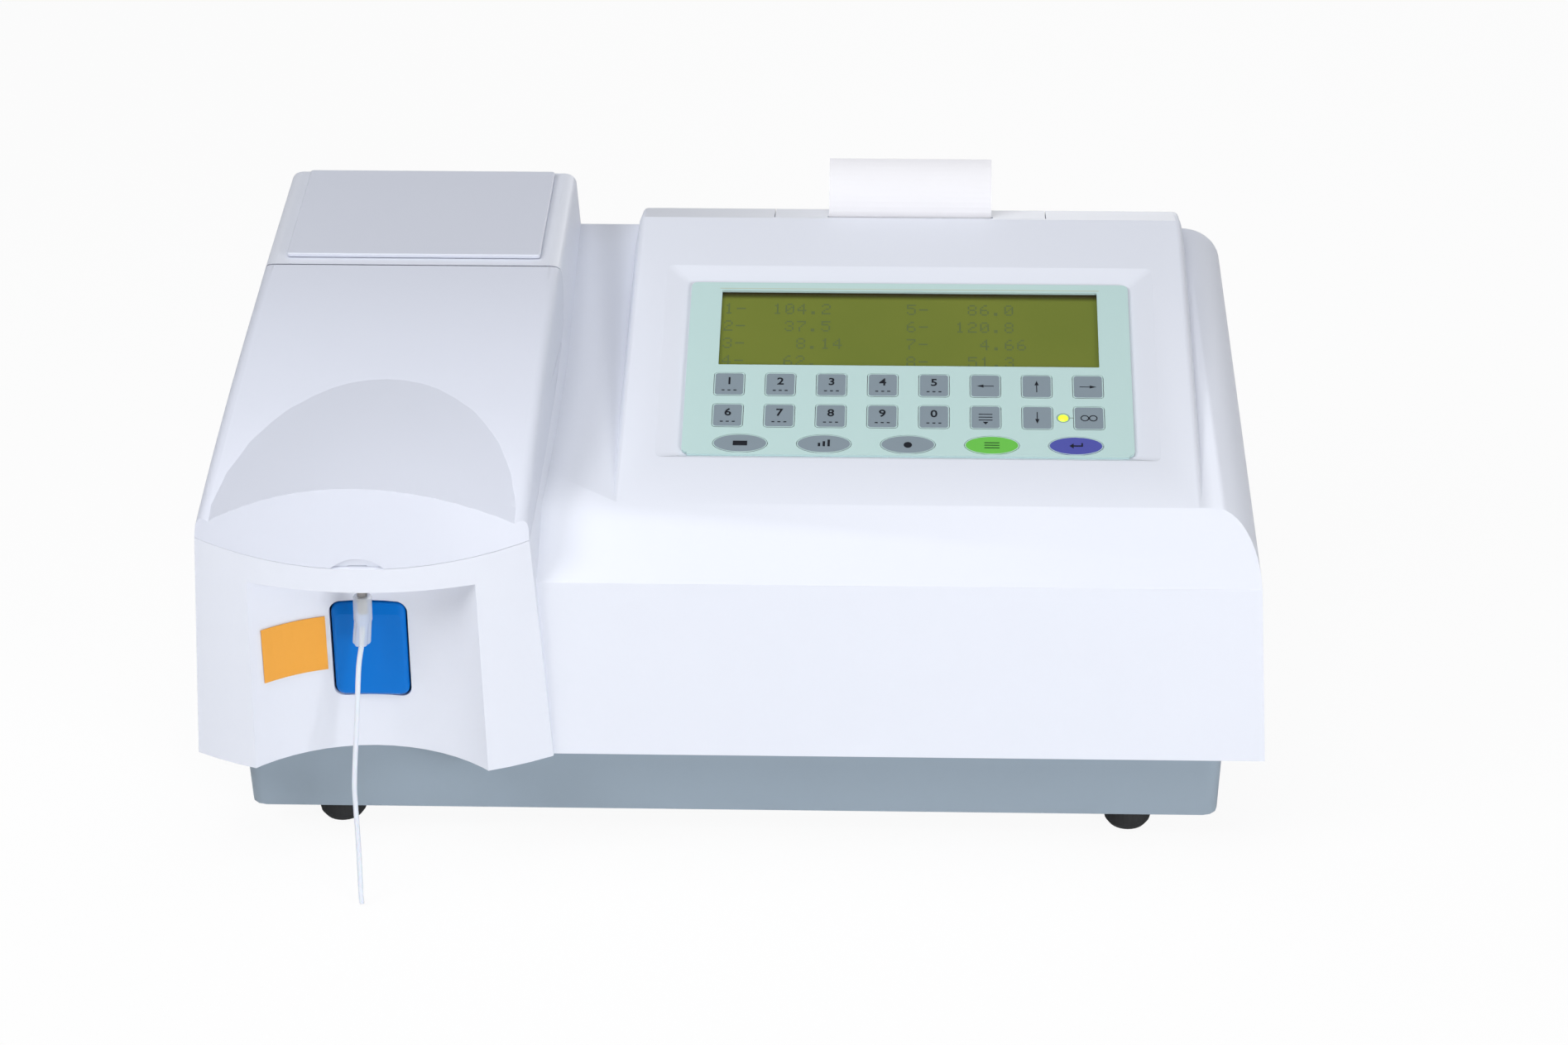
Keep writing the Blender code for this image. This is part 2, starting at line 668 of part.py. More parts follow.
def hump_form(inset):
    """The crowned hump that rises out of the lid and ends at the ridge over the nose."""
    run, drop = HUMP_START_Y - HUMP_RIDGE_Y, HUMP_START_Z - HUMP_RIDGE_Z
    chord = hypot(run, drop)
    radius = chord / (2 * sin(HUMP_TURN / 2))
    start = pi / 2 + atan2(drop, run) - HUMP_TURN / 2
    centre_y = HUMP_START_Y - radius * cos(start)
    centre_z = HUMP_START_Z - radius * sin(start)
    before, after = start - HUMP_TURN / 2, start + HUMP_TURN * 3 / 2
    span = HUMP_HALF_SPAN - inset
    sections = []
    for y, z in arc(centre_y, centre_z, radius - inset, before, after, 2 * ARC_STEPS):
        crown = HUMP_CROWN_RADIUS - inset + HUMP_CROWN_GROWTH * min(max((y - HUMP_RIDGE_Y) / run, 0), 1)
        turn = asin(span / crown)
        across = arc(pod_centre(y), z - crown, crown, pi / 2 - turn, pi / 2 + turn, 3 * ARC_STEPS)
        floor = LID_FRONT_Z - LID_AXIS_DROP - 2 * CORNER_RADIUS
        ends = [(pod_centre(y) - span, floor), (pod_centre(y) + span, floor)]
        sections.append([(x, y, height) for x, height in ends + across])
    return loft(sections)


def nose_ring(inset, height_at, tilt_rise):
    """The nose's arc at a height given for each y, closed behind the body."""
    points = []
    turn = asin((POD_WIDTH / 2 + OVERRUN) / NOSE_RADIUS)
    for step in range(3 * ARC_STEPS + 1):
        angle = -pi / 2 - turn + 2 * turn * step / (3 * ARC_STEPS)
        radius = NOSE_RADIUS - inset
        for _ in range(4):
            z = height_at(NOSE_Y + radius * sin(angle))
            radius = NOSE_RADIUS - inset - (z - RIM_HEIGHT) * tan(FRONT_DRAFT)
        radius -= tilt_rise * tan(LID_NOSE_DRAFT)
        points.append((NOSE_X + radius * cos(angle), NOSE_Y + radius * sin(angle), z + tilt_rise))
    back = NOSE_Y + BODY_DEPTH
    left, right = points[0], points[-1]
    spread = POD_WIDTH / 2
    top = height_at(back) + tilt_rise
    return points + [
        (right[0] + spread, right[1], right[2]),
        (right[0] + spread, back, top),
        (left[0] - spread, back, top),
        (left[0] - spread, left[1], left[2]),
    ]


def lower_nose(inset):
    rings = [nose_ring(inset, lambda y, z=z: z, 0) for z in (0, POD_TOP + OVERRUN)]
    return loft(rings)


def upper_nose(inset):
    rises = (-OVERRUN, POD_TOP - SEAM_FRONT_Z)
    return loft([nose_ring(inset, seam_z, rise) for rise in rises])


def lid_zone(margin):
    """What belongs to the lid: all above the sloping seam, and the round end about the hinge."""
    radius = LID_END_RADIUS + margin
    front, top = -BODY_DEPTH, POD_TOP + OVERRUN
    seam_end = LID_AXIS_Y + margin
    outline = [(front, seam_z(front) - margin), (seam_end, seam_z(seam_end) - margin)]
    outline += arc(LID_AXIS_Y, LID_AXIS_Z, radius, margin / radius - pi / 2, pi / 2, 2 * ARC_STEPS)
    outline += [(LID_AXIS_Y, top), (front, top)]
    return prism(outline, "X", LEFT_X - OVERRUN, pod_right(REAR_Y) + OVERRUN)


def recess_form(wall):
    """The scoop under the nose, or the same grown by a wall."""
    radius = RECESS_RADIUS + wall
    low, high = RIM_HEIGHT - 2 * OVERRUN, RECESS_TOP + wall
    return cylinder("Z", NOSE_X, RECESS_Y, radius, low, high, 2 * ROUND_SIDES)


def lid_form(inset):
    body = join(pod_form(inset), hump_form(inset))
    return keep(body, upper_nose(inset))


# Frame of the console: x to the right, y up the slope, z out of it, origin at the display's centre
def console_matrix():
    y = CREASE_Y + LCD_RISE * cos(CONSOLE_PITCH)
    return Matrix.Translation((CONSOLE_X, y, console_z(y))) @ Matrix.Rotation(CONSOLE_PITCH, 4, "X")


def on_console(made):
    made.data.transform(console_matrix())
    return made


def dish_cut():
    """The shallow dish that the overlay lies in, its border sloping wider at the sides and the back."""
    centre = OVERLAY_TOP - OVERLAY_HEIGHT / 2
    floor = rounded(0, centre, OVERLAY_WIDTH + 2 * GAP, OVERLAY_HEIGHT + 2 * GAP, OVERLAY_RADIUS)
    rise = DISH_DEPTH
    grow = (DISH_DEPTH + rise) / DISH_DEPTH
    side, front = DISH_BORDER * grow, DISH_FRONT_BORDER * grow
    shift = (side - front) / 2
    wide = rounded(
        0, centre + shift, OVERLAY_WIDTH + 2 * side, OVERLAY_HEIGHT + side + front, OVERLAY_RADIUS
    )
    rings = [[(x, y, -DISH_DEPTH) for x, y in floor], [(x, y, rise) for x, y in wide]]
    return on_console(loft(rings))


def boss_places():
    """Where the housing's screw bosses stand, in the gutter outside the tray's walls."""
    inside = SCREW_BOSS_RADIUS + WALL * 3 / 4
    right = RIGHT_X - 3 * SCREW_BOSS_RADIUS
    front = FRONT_Y + inside
    rear = rear_y(TRAY_TOP) - inside
    left = pod_left(TRAY_FRONT_Y) + draft_at(TRAY_TOP) + inside
    return [(right, front), (right, rear), (pod_centre(REAR_Y), rear), (left, TRAY_FRONT_Y)]


def make_housing():
    pod = cut(keep(pod_form(0), lower_nose(0)), lid_zone(SEAM_GAP))
    outer = cut(keep(join(main_form(0), pod), rear_limit(0)), recess_form(0))
    pod = keep(pod_form(WALL), lower_nose(WALL))
    inner = cut(keep(join(main_form(WALL), pod), rear_limit(WALL)), recess_form(WALL))
    bulkhead = bulkhead_y()
    pod_span = (LEFT_X, pod_right(REAR_Y) - 2 * WALL)
    cut(inner, box(pod_span, (bulkhead, bulkhead + WALL), (DECK_Z + GAP, POD_TOP)))
    housing = cut(outer, inner)
    for ear in hinge_ears():
        join(housing, ear)
    for x, y in boss_places():
        low = TRAY_TOP + GAP
        boss = cylinder("Z", x, y, SCREW_BOSS_RADIUS, low, low + SCREW_BOSS_HEIGHT, SMALL_SIDES)
        hole = cylinder("Z", x, y, SCREW_HOLE_RADIUS, 0, low + SCREW_BOSS_HEIGHT / 2, SMALL_SIDES)
        cut(join(housing, boss), hole)
    for cutter in housing_cuts():
        cut(housing, cutter)
    for knuckle in housing_knuckles():
        join(housing, knuckle)
    return finish(housing, "main_housing", "shell")


def bulkhead_y():
    return LID_AXIS_Y + LID_END_RADIUS + SEAM_GAP + RUNNING_GAP


def housing_cuts():
    """Openings through the housing's walls."""
    cuts = [dish_cut()]
    # Display window through the dish's floor
    window = rounded(0, 0, WINDOW_WIDTH + 2 * GAP, WINDOW_HEIGHT + 2 * GAP, GAP)
    cuts.append(on_console(prism(window, "Z", -DISH_DEPTH - WALL - OVERRUN, OVERRUN)))
    led_x, led_y = led_place()
    led_hole = cylinder("Z", led_x, led_y, LED_RADIUS + GAP, -2 * OVERRUN, OVERRUN, SMALL_SIDES)
    cuts.append(on_console(led_hole))
    # Aspirate key's window and the nozzle's hole
    half = ASPIRATE_WIDTH / 2 + RUNNING_GAP
    rise = ASPIRATE_HEIGHT / 2 + RUNNING_GAP
    span_z = (ASPIRATE_CENTRE_Z - rise, ASPIRATE_CENTRE_Z + rise)
    cuts.append(box((NOSE_X - half, NOSE_X + half), (RECESS_Y, RECESS_BACK_Y + OVERRUN), span_z))
    nozzle_hole = cylinder(
        "Z", NOSE_X, NOZZLE_Y, NOZZLE_RADIUS + GAP, RECESS_TOP - WALL, RECESS_TOP + 2 * WALL, SMALL_SIDES
    )
    cuts.append(nozzle_hole)
    # Lamp compartment under its cover
    x, y, width, depth = lamp_opening()
    opening = rounded(x, y, width, depth, LAMP_COVER_RADIUS)
    cuts.append(prism(opening, "Z", POD_TOP - 2 * WALL, POD_TOP + OVERRUN))
    # Printer bay, open at the top and the back
    half = PRINTER_COVER_WIDTH / 2 + GAP
    bay = (CONSOLE_END_Y + PRINTER_LEDGE, REAR_Y + OVERRUN)
    cuts.append(box((CONSOLE_X - half, CONSOLE_X + half), bay, (PRINTER_COVER_LOW_Z, POD_TOP + OVERRUN)))
    # Rear panel
    panel = rounded(PANEL_CENTRE_X, panel_z(), PANEL_WIDTH, PANEL_HEIGHT, OVERLAY_RADIUS)
    cuts.append(prism(panel, "Y", REAR_Y - 4 * WALL, REAR_Y + OVERRUN))
    return cuts


# Lid, its hinge and the cover behind it
def hinge_places():
    middle = pod_centre(LID_AXIS_Y)
    return [middle - HINGE_SPREAD / 2, middle + HINGE_SPREAD / 2]


def hinge_plate(x, width, reach_y, drop):
    """A plate with a round end about the hinge pin and an arm that drops from it."""
    outline = arc(LID_AXIS_Y, LID_AXIS_Z, HINGE_EAR_RADIUS, 0, pi, 2 * ARC_STEPS)
    low = LID_AXIS_Z - drop
    outline += [(LID_AXIS_Y - HINGE_EAR_RADIUS, low), (reach_y, low)]
    outline += [(reach_y, low + drop / 3), (LID_AXIS_Y + HINGE_EAR_RADIUS, low + drop / 2)]
    return prism(outline, "X", x - width / 2, x + width / 2)


def hinge_ears():
    """Two ears on the bulkhead that hold the hinge pin."""
    ears = []
    for place_x, side in zip(hinge_places(), (-1, 1)):
        x = place_x + side * (HINGE_EAR_WIDTH + GAP) / 2
        ear = hinge_plate(x, HINGE_EAR_WIDTH, bulkhead_y() + WALL / 2, HINGE_ARM_DROP)
        low, high = LEFT_X, RIGHT_X
        bore = HINGE_PIN_RADIUS + PIN_GAP
        ears.append(cut(ear, cylinder("X", LID_AXIS_Y, LID_AXIS_Z, bore, low, high, SMALL_SIDES)))
    return ears


def hinge_lugs():
    """Two lugs under the lid that turn on the pin, beside the ears."""
    lugs = []
    for place_x, side in zip(hinge_places(), (-1, 1)):
        x = place_x - side * (HINGE_EAR_WIDTH + GAP) / 2
        outline = arc(LID_AXIS_Y, LID_AXIS_Z, HINGE_EAR_RADIUS, pi, 2 * pi, 2 * ARC_STEPS)
        top = POD_TOP - LID_WALL / 2
        outline += [(LID_AXIS_Y + HINGE_PIN_RADIUS, top), (LID_AXIS_Y - 3 * HINGE_EAR_RADIUS, top)]
        half = HINGE_EAR_WIDTH / 2
        lug = prism(outline, "X", x - half, x + half)
        bore = HINGE_PIN_RADIUS + PIN_GAP
        lugs.append(cut(lug, cylinder("X", LID_AXIS_Y, LID_AXIS_Z, bore, LEFT_X, RIGHT_X, SMALL_SIDES)))
    return lugs


def make_lid():
    lid = cut(lid_form(0), lid_form(LID_WALL))
    # The inner form leaves the front wall and the side walls down to the seam
    keep(lid, lid_zone(0))
    lugs = hinge_lugs()
    clip = lid_form(LID_WALL / 2)
    for lug in lugs:
        join(lid, keep(lug, duplicate(clip)))
    bpy.data.objects.remove(clip)
    # Finger notch, a shallow scoop over a slot at the seam
    radius = ((NOTCH_WIDTH / 2) ** 2 + NOTCH_HEIGHT**2) / (2 * NOTCH_HEIGHT)
    front = NOSE_FRONT_Y + (SEAM_FRONT_Z - RIM_HEIGHT) * tan(FRONT_DRAFT)
    notch_z = SEAM_FRONT_Z + NOTCH_HEIGHT - radius
    cut(lid, cylinder("Y", NOSE_X, notch_z, radius, front - OVERRUN, front + NOTCH_DEPTH, 2 * ROUND_SIDES))
    slot = NOTCH_WIDTH / 6
    slot_z = (SEAM_FRONT_Z - NOTCH_HEIGHT, SEAM_FRONT_Z + NOTCH_HEIGHT / 3)
    cut(lid, box((NOSE_X - slot, NOSE_X + slot), (front - OVERRUN, front + OVERRUN), slot_z))
    finish(lid, "flow_cell_lid", "shell", (pod_centre(LID_AXIS_Y), LID_AXIS_Y, LID_AXIS_Z))
    reach = HINGE_SPREAD / 2 + HINGE_EAR_WIDTH
    middle = pod_centre(LID_AXIS_Y)
    pin = cylinder(
        "X", LID_AXIS_Y, LID_AXIS_Z, HINGE_PIN_RADIUS, middle - reach, middle + reach, SMALL_SIDES
    )
    return finish(pin, "lid_hinge_pin", "steel")


def lamp_opening():
    y = LAMP_COVER_FRONT_Y + LAMP_COVER_DEPTH / 2
    front = bulkhead_y() + 2 * WALL
    rear = LAMP_COVER_FRONT_Y + LAMP_COVER_DEPTH - LAMP_COVER_EDGE
    width = LAMP_COVER_WIDTH - 2 * LAMP_COVER_EDGE
    return pod_centre(y), (front + rear) / 2, width, rear - front


def make_lamp_cover():
    x, y, width, depth = lamp_opening()
    middle = LAMP_COVER_FRONT_Y + LAMP_COVER_DEPTH / 2
    outline = rounded(x, middle, LAMP_COVER_WIDTH, LAMP_COVER_DEPTH, LAMP_COVER_RADIUS)
    low = POD_TOP + GAP
    cover = prism(outline, "Z", low, POD_TOP + LAMP_COVER_THICKNESS)
    fit = 2 * GAP
    skirt = rounded(x, y, width - fit, depth - fit, LAMP_COVER_RADIUS)
    hollow = rounded(x, y, width - fit - 2 * WALL, depth - fit - 2 * WALL, LAMP_COVER_RADIUS)
    bottom = POD_TOP - LAMP_COVER_SKIRT
    join(cover, prism(skirt, "Z", bottom, low + LAMP_COVER_THICKNESS / 2))
    cut(cover, prism(hollow, "Z", bottom - OVERRUN, low))
    return finish(cover, "lamp_cover", "shell", (x, middle, low))


# Tray, feet and the boards on its floor
def tray_ring(inset, z):
    slope = (z - TRAY_CLEARANCE) * tan(TRAY_DRAFT)
    lean = inset - slope
    width = TRAY_WIDTH - 2 * lean
    depth = TRAY_REAR_Y - TRAY_FRONT_Y - 2 * lean
    middle = (TRAY_REAR_Y + TRAY_FRONT_Y) / 2
    radius = TRAY_CORNER_RADIUS - inset
    return [(x, y, z) for x, y in rounded(0, middle, width, depth, radius, ARC_STEPS // 2)]


def post_places():
    xs = [BOARD_CENTRE_X + side * (BOARD_WIDTH / 2 - POST_INSET) for side in (-1, 1)]
    ys = [BOARD_CENTRE_Y + side * (BOARD_DEPTH / 2 - POST_INSET) for side in (-1, 1)]
    return [(x, y) for x in xs for y in ys]


def deck_posts():
    xs = [DECK_CENTRE_X + side * (DECK_WIDTH / 2 - POST_INSET) for side in (-1, 1)]
    return [(x, y) for x in xs for y in (DECK_FRONT_Y + POST_INSET, DECK_REAR_Y - POST_INSET)]


def make_tray():
    low = RIM_HEIGHT + FLANGE_RISE
    tray = loft([tray_ring(0, z) for z in (TRAY_CLEARANCE, TRAY_TOP - GAP)])
    inset = WALL + 2 * GAP
    flange = join(main_form(inset), keep(pod_form(inset), lower_nose(inset)))
    cut(keep(flange, rear_limit(inset)), recess_form(inset))
    keep(flange, box((LEFT_X, RIGHT_X), (-BODY_DEPTH, BODY_DEPTH), (low, TRAY_TOP)))
    join(tray, flange)
    cut(tray, loft([tray_ring(WALL, z) for z in (FLOOR_Z, TRAY_TOP + OVERRUN)]))
    for x, y in post_places():
        join(tray, cylinder("Z", x, y, POST_RADIUS, TRAY_CLEARANCE, FLOOR_Z + POST_HEIGHT, SMALL_SIDES))
    for x, y in deck_posts():
        join(tray, cylinder("Z", x, y, 2 * WALL, TRAY_CLEARANCE, DECK_HEIGHT - GAP, SMALL_SIDES))
    for i in range(VENT_COUNT):
        x = BOARD_CENTRE_X + (i - (VENT_COUNT - 1) / 2) * VENT_PITCH
        slot = rounded(x, BOARD_CENTRE_Y, VENT_WIDTH, VENT_LENGTH, VENT_WIDTH / 3)
        cut(tray, prism(slot, "Z", 0, FLOOR_Z + GAP))
    return finish(tray, "base_tray", "tray")


def foot_places():
    ys = (TRAY_FRONT_Y + FOOT_INSET_Y, TRAY_REAR_Y - FOOT_INSET_Y)
    xs = (-FOOT_SPACING_X / 2, FOOT_SPACING_X / 2)
    names = ("foot_front_left", "foot_front_right", "foot_rear_left", "foot_rear_right")
    return zip(names, [(x, y) for y in ys for x in xs])


def make_feet():
    top = TRAY_CLEARANCE - GAP
    for name, (x, y) in foot_places():
        profile = [(FOOT_RADIUS * cos(t), top / 2 - top / 2 * sin(t)) for t in (pi / 3, pi / 5, pi / 12)]
        profile = [(FOOT_RADIUS / 3, 0)] + profile + [(FOOT_RADIUS, top / 2), (FOOT_RADIUS, top)]
        finish(turned("Z", x, y, profile, ROUND_SIDES), name, "rubber")


def make_mainboard():
    low = FLOOR_Z + POST_HEIGHT + GAP
    top = low + BOARD_THICKNESS
    board = block((BOARD_CENTRE_X, BOARD_CENTRE_Y), BOARD_WIDTH, BOARD_DEPTH, low, top)
    inset = 2 * POST_INSET
    chips = [(-1 / 4, 1 / 6), (0, 1 / 6), (1 / 4, 1 / 6), (0, -1 / 6)]
    for share_x, share_y in chips:
        x, y = BOARD_CENTRE_X + BOARD_WIDTH * share_x, BOARD_CENTRE_Y + BOARD_DEPTH * share_y
        join(board, block((x, y), CHIP_SIZE, CHIP_SIZE, low, top + CHIP_HEIGHT))
    for side in (-1, 1):
        x = BOARD_CENTRE_X + side * (BOARD_WIDTH / 2 - inset - HEADER_LENGTH / 2)
        y = BOARD_CENTRE_Y - BOARD_DEPTH / 2 + HEADER_DEPTH
        join(board, block((x, y), HEADER_LENGTH, HEADER_DEPTH, low, top + HEADER_HEIGHT))
    for x, y in post_places():
        cut(board, cylinder("Z", x, y, SCREW_HOLE_RADIUS, low - OVERRUN, top + OVERRUN, SMALL_SIDES))
    return finish(board, "mainboard", "board")


def make_power_supply():
    low = FLOOR_Z + GAP
    supply = block((SUPPLY_X, SUPPLY_Y), SUPPLY_WIDTH, SUPPLY_DEPTH, low, low + SUPPLY_HEIGHT)
    hollow_w, hollow_d = SUPPLY_WIDTH + OVERRUN, SUPPLY_DEPTH - 2 * SUPPLY_SHEET
    floor = low + SUPPLY_SHEET
    cut(supply, block((SUPPLY_X, SUPPLY_Y), hollow_w, hollow_d, floor, low + SUPPLY_HEIGHT + OVERRUN))
    coil = block((SUPPLY_X, SUPPLY_Y), COIL_SIZE, COIL_SIZE, low, low + COIL_SIZE)
    join(supply, coil)
    for side in (-1, 1):
        x = SUPPLY_X + side * SUPPLY_WIDTH / 3
        join(supply, cylinder("Z", x, SUPPLY_Y, CAPACITOR_RADIUS, low, low + COIL_SIZE, SMALL_SIDES))
    return finish(supply, "power_supply", "aluminium")


# Optics deck and what stands on it
def make_deck():
    middle = (DECK_FRONT_Y + DECK_REAR_Y) / 2
    depth = DECK_REAR_Y - DECK_FRONT_Y
    deck = block((DECK_CENTRE_X, middle), DECK_WIDTH, depth, DECK_HEIGHT, DECK_Z)
    for x, y in deck_posts():
        hole = cylinder("Z", x, y, SCREW_HOLE_RADIUS, DECK_HEIGHT - OVERRUN, DECK_Z + OVERRUN, SMALL_SIDES)
        cut(deck, hole)
    return finish(deck, "optics_deck", "aluminium")


def make_optics():
    low = DECK_Z + GAP
    beam_z = DECK_Z + BEAM_HEIGHT
    top = low + OPTICS_HEIGHT
    base = block((BEAM_X, OPTICS_Y), OPTICS_WIDTH, OPTICS_DEPTH, low, top)
    rear = OPTICS_Y + OPTICS_DEPTH / 2
    lens = cylinder("Y", BEAM_X, beam_z, 3 * BEAM_RADIUS, rear - WALL, bulkhead_y() - GAP, ROUND_SIDES)
    join(base, lens)
    cut(base, cylinder("Y", BEAM_X, beam_z, BEAM_RADIUS, OPTICS_Y, rear + BODY_DEPTH, SMALL_SIDES))
    width, depth = CELL_WIDTH + 2 * GAP, CELL_DEPTH + 2 * GAP
    cut(base, block((BEAM_X, OPTICS_Y), width, depth, top - CELL_DROP - GAP, top + OVERRUN))
    finish(base, "optics_block", "anodised")
    cell = block((BEAM_X, OPTICS_Y), CELL_WIDTH, CELL_DEPTH, top - CELL_DROP, top + CELL_PROUD / 2)
    cap = block(
        (BEAM_X, OPTICS_Y), CELL_WIDTH + 2 * WALL, CELL_DEPTH + 2 * WALL, top + GAP, top + CELL_PROUD
    )
    join(cell, cap)
    for side in (-1, 1):
        x = BEAM_X + side * CELL_WIDTH / 4
        stub = cylinder("Z", x, OPTICS_Y, 2 * TUBE_RADIUS, top, top + CELL_PROUD + CELL_CAP, SMALL_SIDES)
        join(cell, stub)
    return finish(cell, "flow_cell", "quartz")


def make_lamp():
    """A finned lamp holder on a foot, its beam towards the flow cell."""
    z = DECK_Z + BEAM_HEIGHT
    low = LAMP_Y - LAMP_LENGTH / 2
    lamp = cylinder("Y", BEAM_X, z, LAMP_CORE_RADIUS, low + GAP, low + LAMP_LENGTH - GAP)
    pitch = (LAMP_LENGTH - LAMP_FIN_THICKNESS) / (LAMP_FINS - 1)
    for i in range(LAMP_FINS):
        start = low + i * pitch
        join(lamp, cylinder("Y", BEAM_X, z, LAMP_RADIUS, start, start + LAMP_FIN_THICKNESS))
    join(lamp, block((BEAM_X, LAMP_Y), LAMP_CORE_RADIUS, LAMP_LENGTH / 2, DECK_Z + GAP, z))
    cut(lamp, cylinder("Y", BEAM_X, z, BEAM_RADIUS, low - OVERRUN, LAMP_Y, SMALL_SIDES))
    return finish(lamp, "lamp", "anodised")


def make_filter_wheel():
    z = DECK_Z + BEAM_HEIGHT
    half = WHEEL_THICKNESS / 2
    wheel = cylinder("Y", WHEEL_X, z, WHEEL_RADIUS, WHEEL_Y - half, WHEEL_Y + half, 2 * ROUND_SIDES)
    reach = BEAM_X - WHEEL_X
    for i in range(WHEEL_FILTERS):
        turn = 2 * pi * i / WHEEL_FILTERS
        x, height = WHEEL_X + reach * cos(turn), z + reach * sin(turn)
        hole = cylinder("Y", x, height, FILTER_RADIUS, WHEEL_Y - WALL, WHEEL_Y + WALL, SMALL_SIDES)
        cut(wheel, hole)
    hub_end = WHEEL_Y + half + 2 * WALL
    hub = cylinder("Y", WHEEL_X, z, 2 * WALL, WHEEL_Y, hub_end, SMALL_SIDES)
    bore = SHAFT_RADIUS + PIN_GAP
    join(wheel, hub)
    cut(wheel, cylinder("Y", WHEEL_X, z, bore, WHEEL_Y - WALL, hub_end + OVERRUN, SMALL_SIDES))
    finish(wheel, "filter_wheel", "anodised", (WHEEL_X, WHEEL_Y, z))
    face = hub_end + RUNNING_GAP
    half_s = STEPPER_SIZE / 2
    motor = box(
        (WHEEL_X - half_s, WHEEL_X + half_s), (face, face + STEPPER_LENGTH), (z - half_s, z + half_s)
    )
    join(motor, block((WHEEL_X, face + STEPPER_LENGTH / 2), half_s, STEPPER_LENGTH, DECK_Z + GAP, z))
    join(motor, cylinder("Y", WHEEL_X, z, SHAFT_RADIUS, WHEEL_Y - half, face + WALL, SMALL_SIDES))
    return finish(motor, "filter_motor", "steel")


def make_pump():
    """Peristaltic pump: a cup on its motor, with a rotor of three rollers turning in it."""
    low = DECK_Z + GAP
    shelf = low + PUMP_MOTOR_HEIGHT
    top = shelf + PUMP_HEIGHT
    pump = cylinder("Z", PUMP_X, PUMP_Y, PUMP_RADIUS, low, top)
    bore = PUMP_RADIUS - PUMP_WALL
    cut(pump, cylinder("Z", PUMP_X, PUMP_Y, bore, shelf, top + OVERRUN))
    mouth = (PUMP_Y - PUMP_RADIUS - OVERRUN, PUMP_Y)
    half = PUMP_RADIUS / 3
    cut(pump, box((PUMP_X - half, PUMP_X + half), mouth, (shelf, top + OVERRUN)))
    join(pump, cylinder("Z", PUMP_X, PUMP_Y, SHAFT_RADIUS, low, top - WALL, SMALL_SIDES))
    finish(pump, "pump_body", "anodised")
    base = shelf + GAP
    disc_top = base + WALL
    reach = bore - RUNNING_GAP - ROLLER_RADIUS
    rotor = cylinder("Z", PUMP_X, PUMP_Y, reach + ROLLER_RADIUS / 2, base, disc_top)
    join(rotor, cylinder("Z", PUMP_X, PUMP_Y, PUMP_HUB_RADIUS, base, top - WALL / 2))
    for i in range(ROLLER_COUNT):
        turn = pi / 2 + 2 * pi * i / ROLLER_COUNT
        x, y = PUMP_X + reach * cos(turn), PUMP_Y + reach * sin(turn)
        join(rotor, cylinder("Z", x, y, ROLLER_RADIUS, base + GAP, top - WALL, SMALL_SIDES))
    bore = SHAFT_RADIUS + PIN_GAP
    cut(rotor, cylinder("Z", PUMP_X, PUMP_Y, bore, base - OVERRUN, top + OVERRUN, SMALL_SIDES))
    return finish(rotor, "pump_rotor", "white_plastic", (PUMP_X, PUMP_Y, base))


# Overlay, display and keys, drawn in the console's frame
def led_place():
    x = KEY_PITCH * (KEY_COLUMNS / 2 - 1)
    return x, -KEY_ROW_DROP - KEY_ROW_PITCH


def rect_keys():
    """Names and places of the square keys, in two rows."""
    rows = (
        "number_1 number_2 number_3 number_4 number_5 arrow_left arrow_up arrow_right",
        "number_6 number_7 number_8 number_9 number_0 paper_feed arrow_down link",
    )
    for row, names in enumerate(rows):
        y = -KEY_ROW_DROP - row * KEY_ROW_PITCH
        for column, name in enumerate(names.split()):
            yield name, (column - (KEY_COLUMNS - 1) / 2) * KEY_PITCH, y


def oval_keys():
    y = -KEY_ROW_DROP - KEY_ROW_PITCH - OVAL_ROW_DROP
    names = "oval_left oval_centre_left oval_centre oval_green oval_blue".split()
    for i, name in enumerate(names):
        yield name, (i - (len(names) - 1) / 2) * OVAL_PITCH, y


def key_outline(x, y, oval, grow=0.0):
    if oval:
        half_w, half_h = OVAL_WIDTH / 2 + grow, OVAL_HEIGHT / 2 + grow
        return [(x + half_w * a, y + half_h * b) for a, b in circle(0, 0, 1, 24)]
    return rounded(x, y, KEY_WIDTH + 2 * grow, KEY_HEIGHT + 2 * grow, KEY_RADIUS + grow)


def overlay_levels():
    low = GAP - DISH_DEPTH
    return low, low + OVERLAY_THICKNESS


def make_overlay():
    low, top = overlay_levels()
    centre = OVERLAY_TOP - OVERLAY_HEIGHT / 2
    sheet = prism(rounded(0, centre, OVERLAY_WIDTH, OVERLAY_HEIGHT, OVERLAY_RADIUS), "Z", low, top)
    window = rounded(0, 0, WINDOW_WIDTH - 2 * WINDOW_BEZEL, WINDOW_HEIGHT - 2 * WINDOW_BEZEL, GAP)
    cut(sheet, prism(window, "Z", low - OVERRUN, top + OVERRUN))
    for name, x, y in [*rect_keys(), *oval_keys()]:
        outline = key_outline(x, y, name.startswith("oval"), KEY_GAP)
        cut(sheet, prism(outline, "Z", low - OVERRUN, top + OVERRUN))
    x, y = led_place()
    cut(sheet, cylinder("Z", x, y, LED_RADIUS + KEY_GAP, low - OVERRUN, top + OVERRUN, SMALL_SIDES))
    return finish(on_console(sheet), "keypad_overlay", "overlay")


def make_keys(frame):
    _, top = overlay_levels()
    for name, x, y in [*rect_keys(), *oval_keys()]:
        oval = name.startswith("oval")
        cap = prism(key_outline(0, 0, oval), "Z", -KEY_THICKNESS, 0)
        surface = {"oval_green": "green_key", "oval_blue": "blue_key"}.get(name, "grey_key")
        finish(cap, "key_" + name, surface)
        cap.parent = frame
        cap.location = (x, y, top)


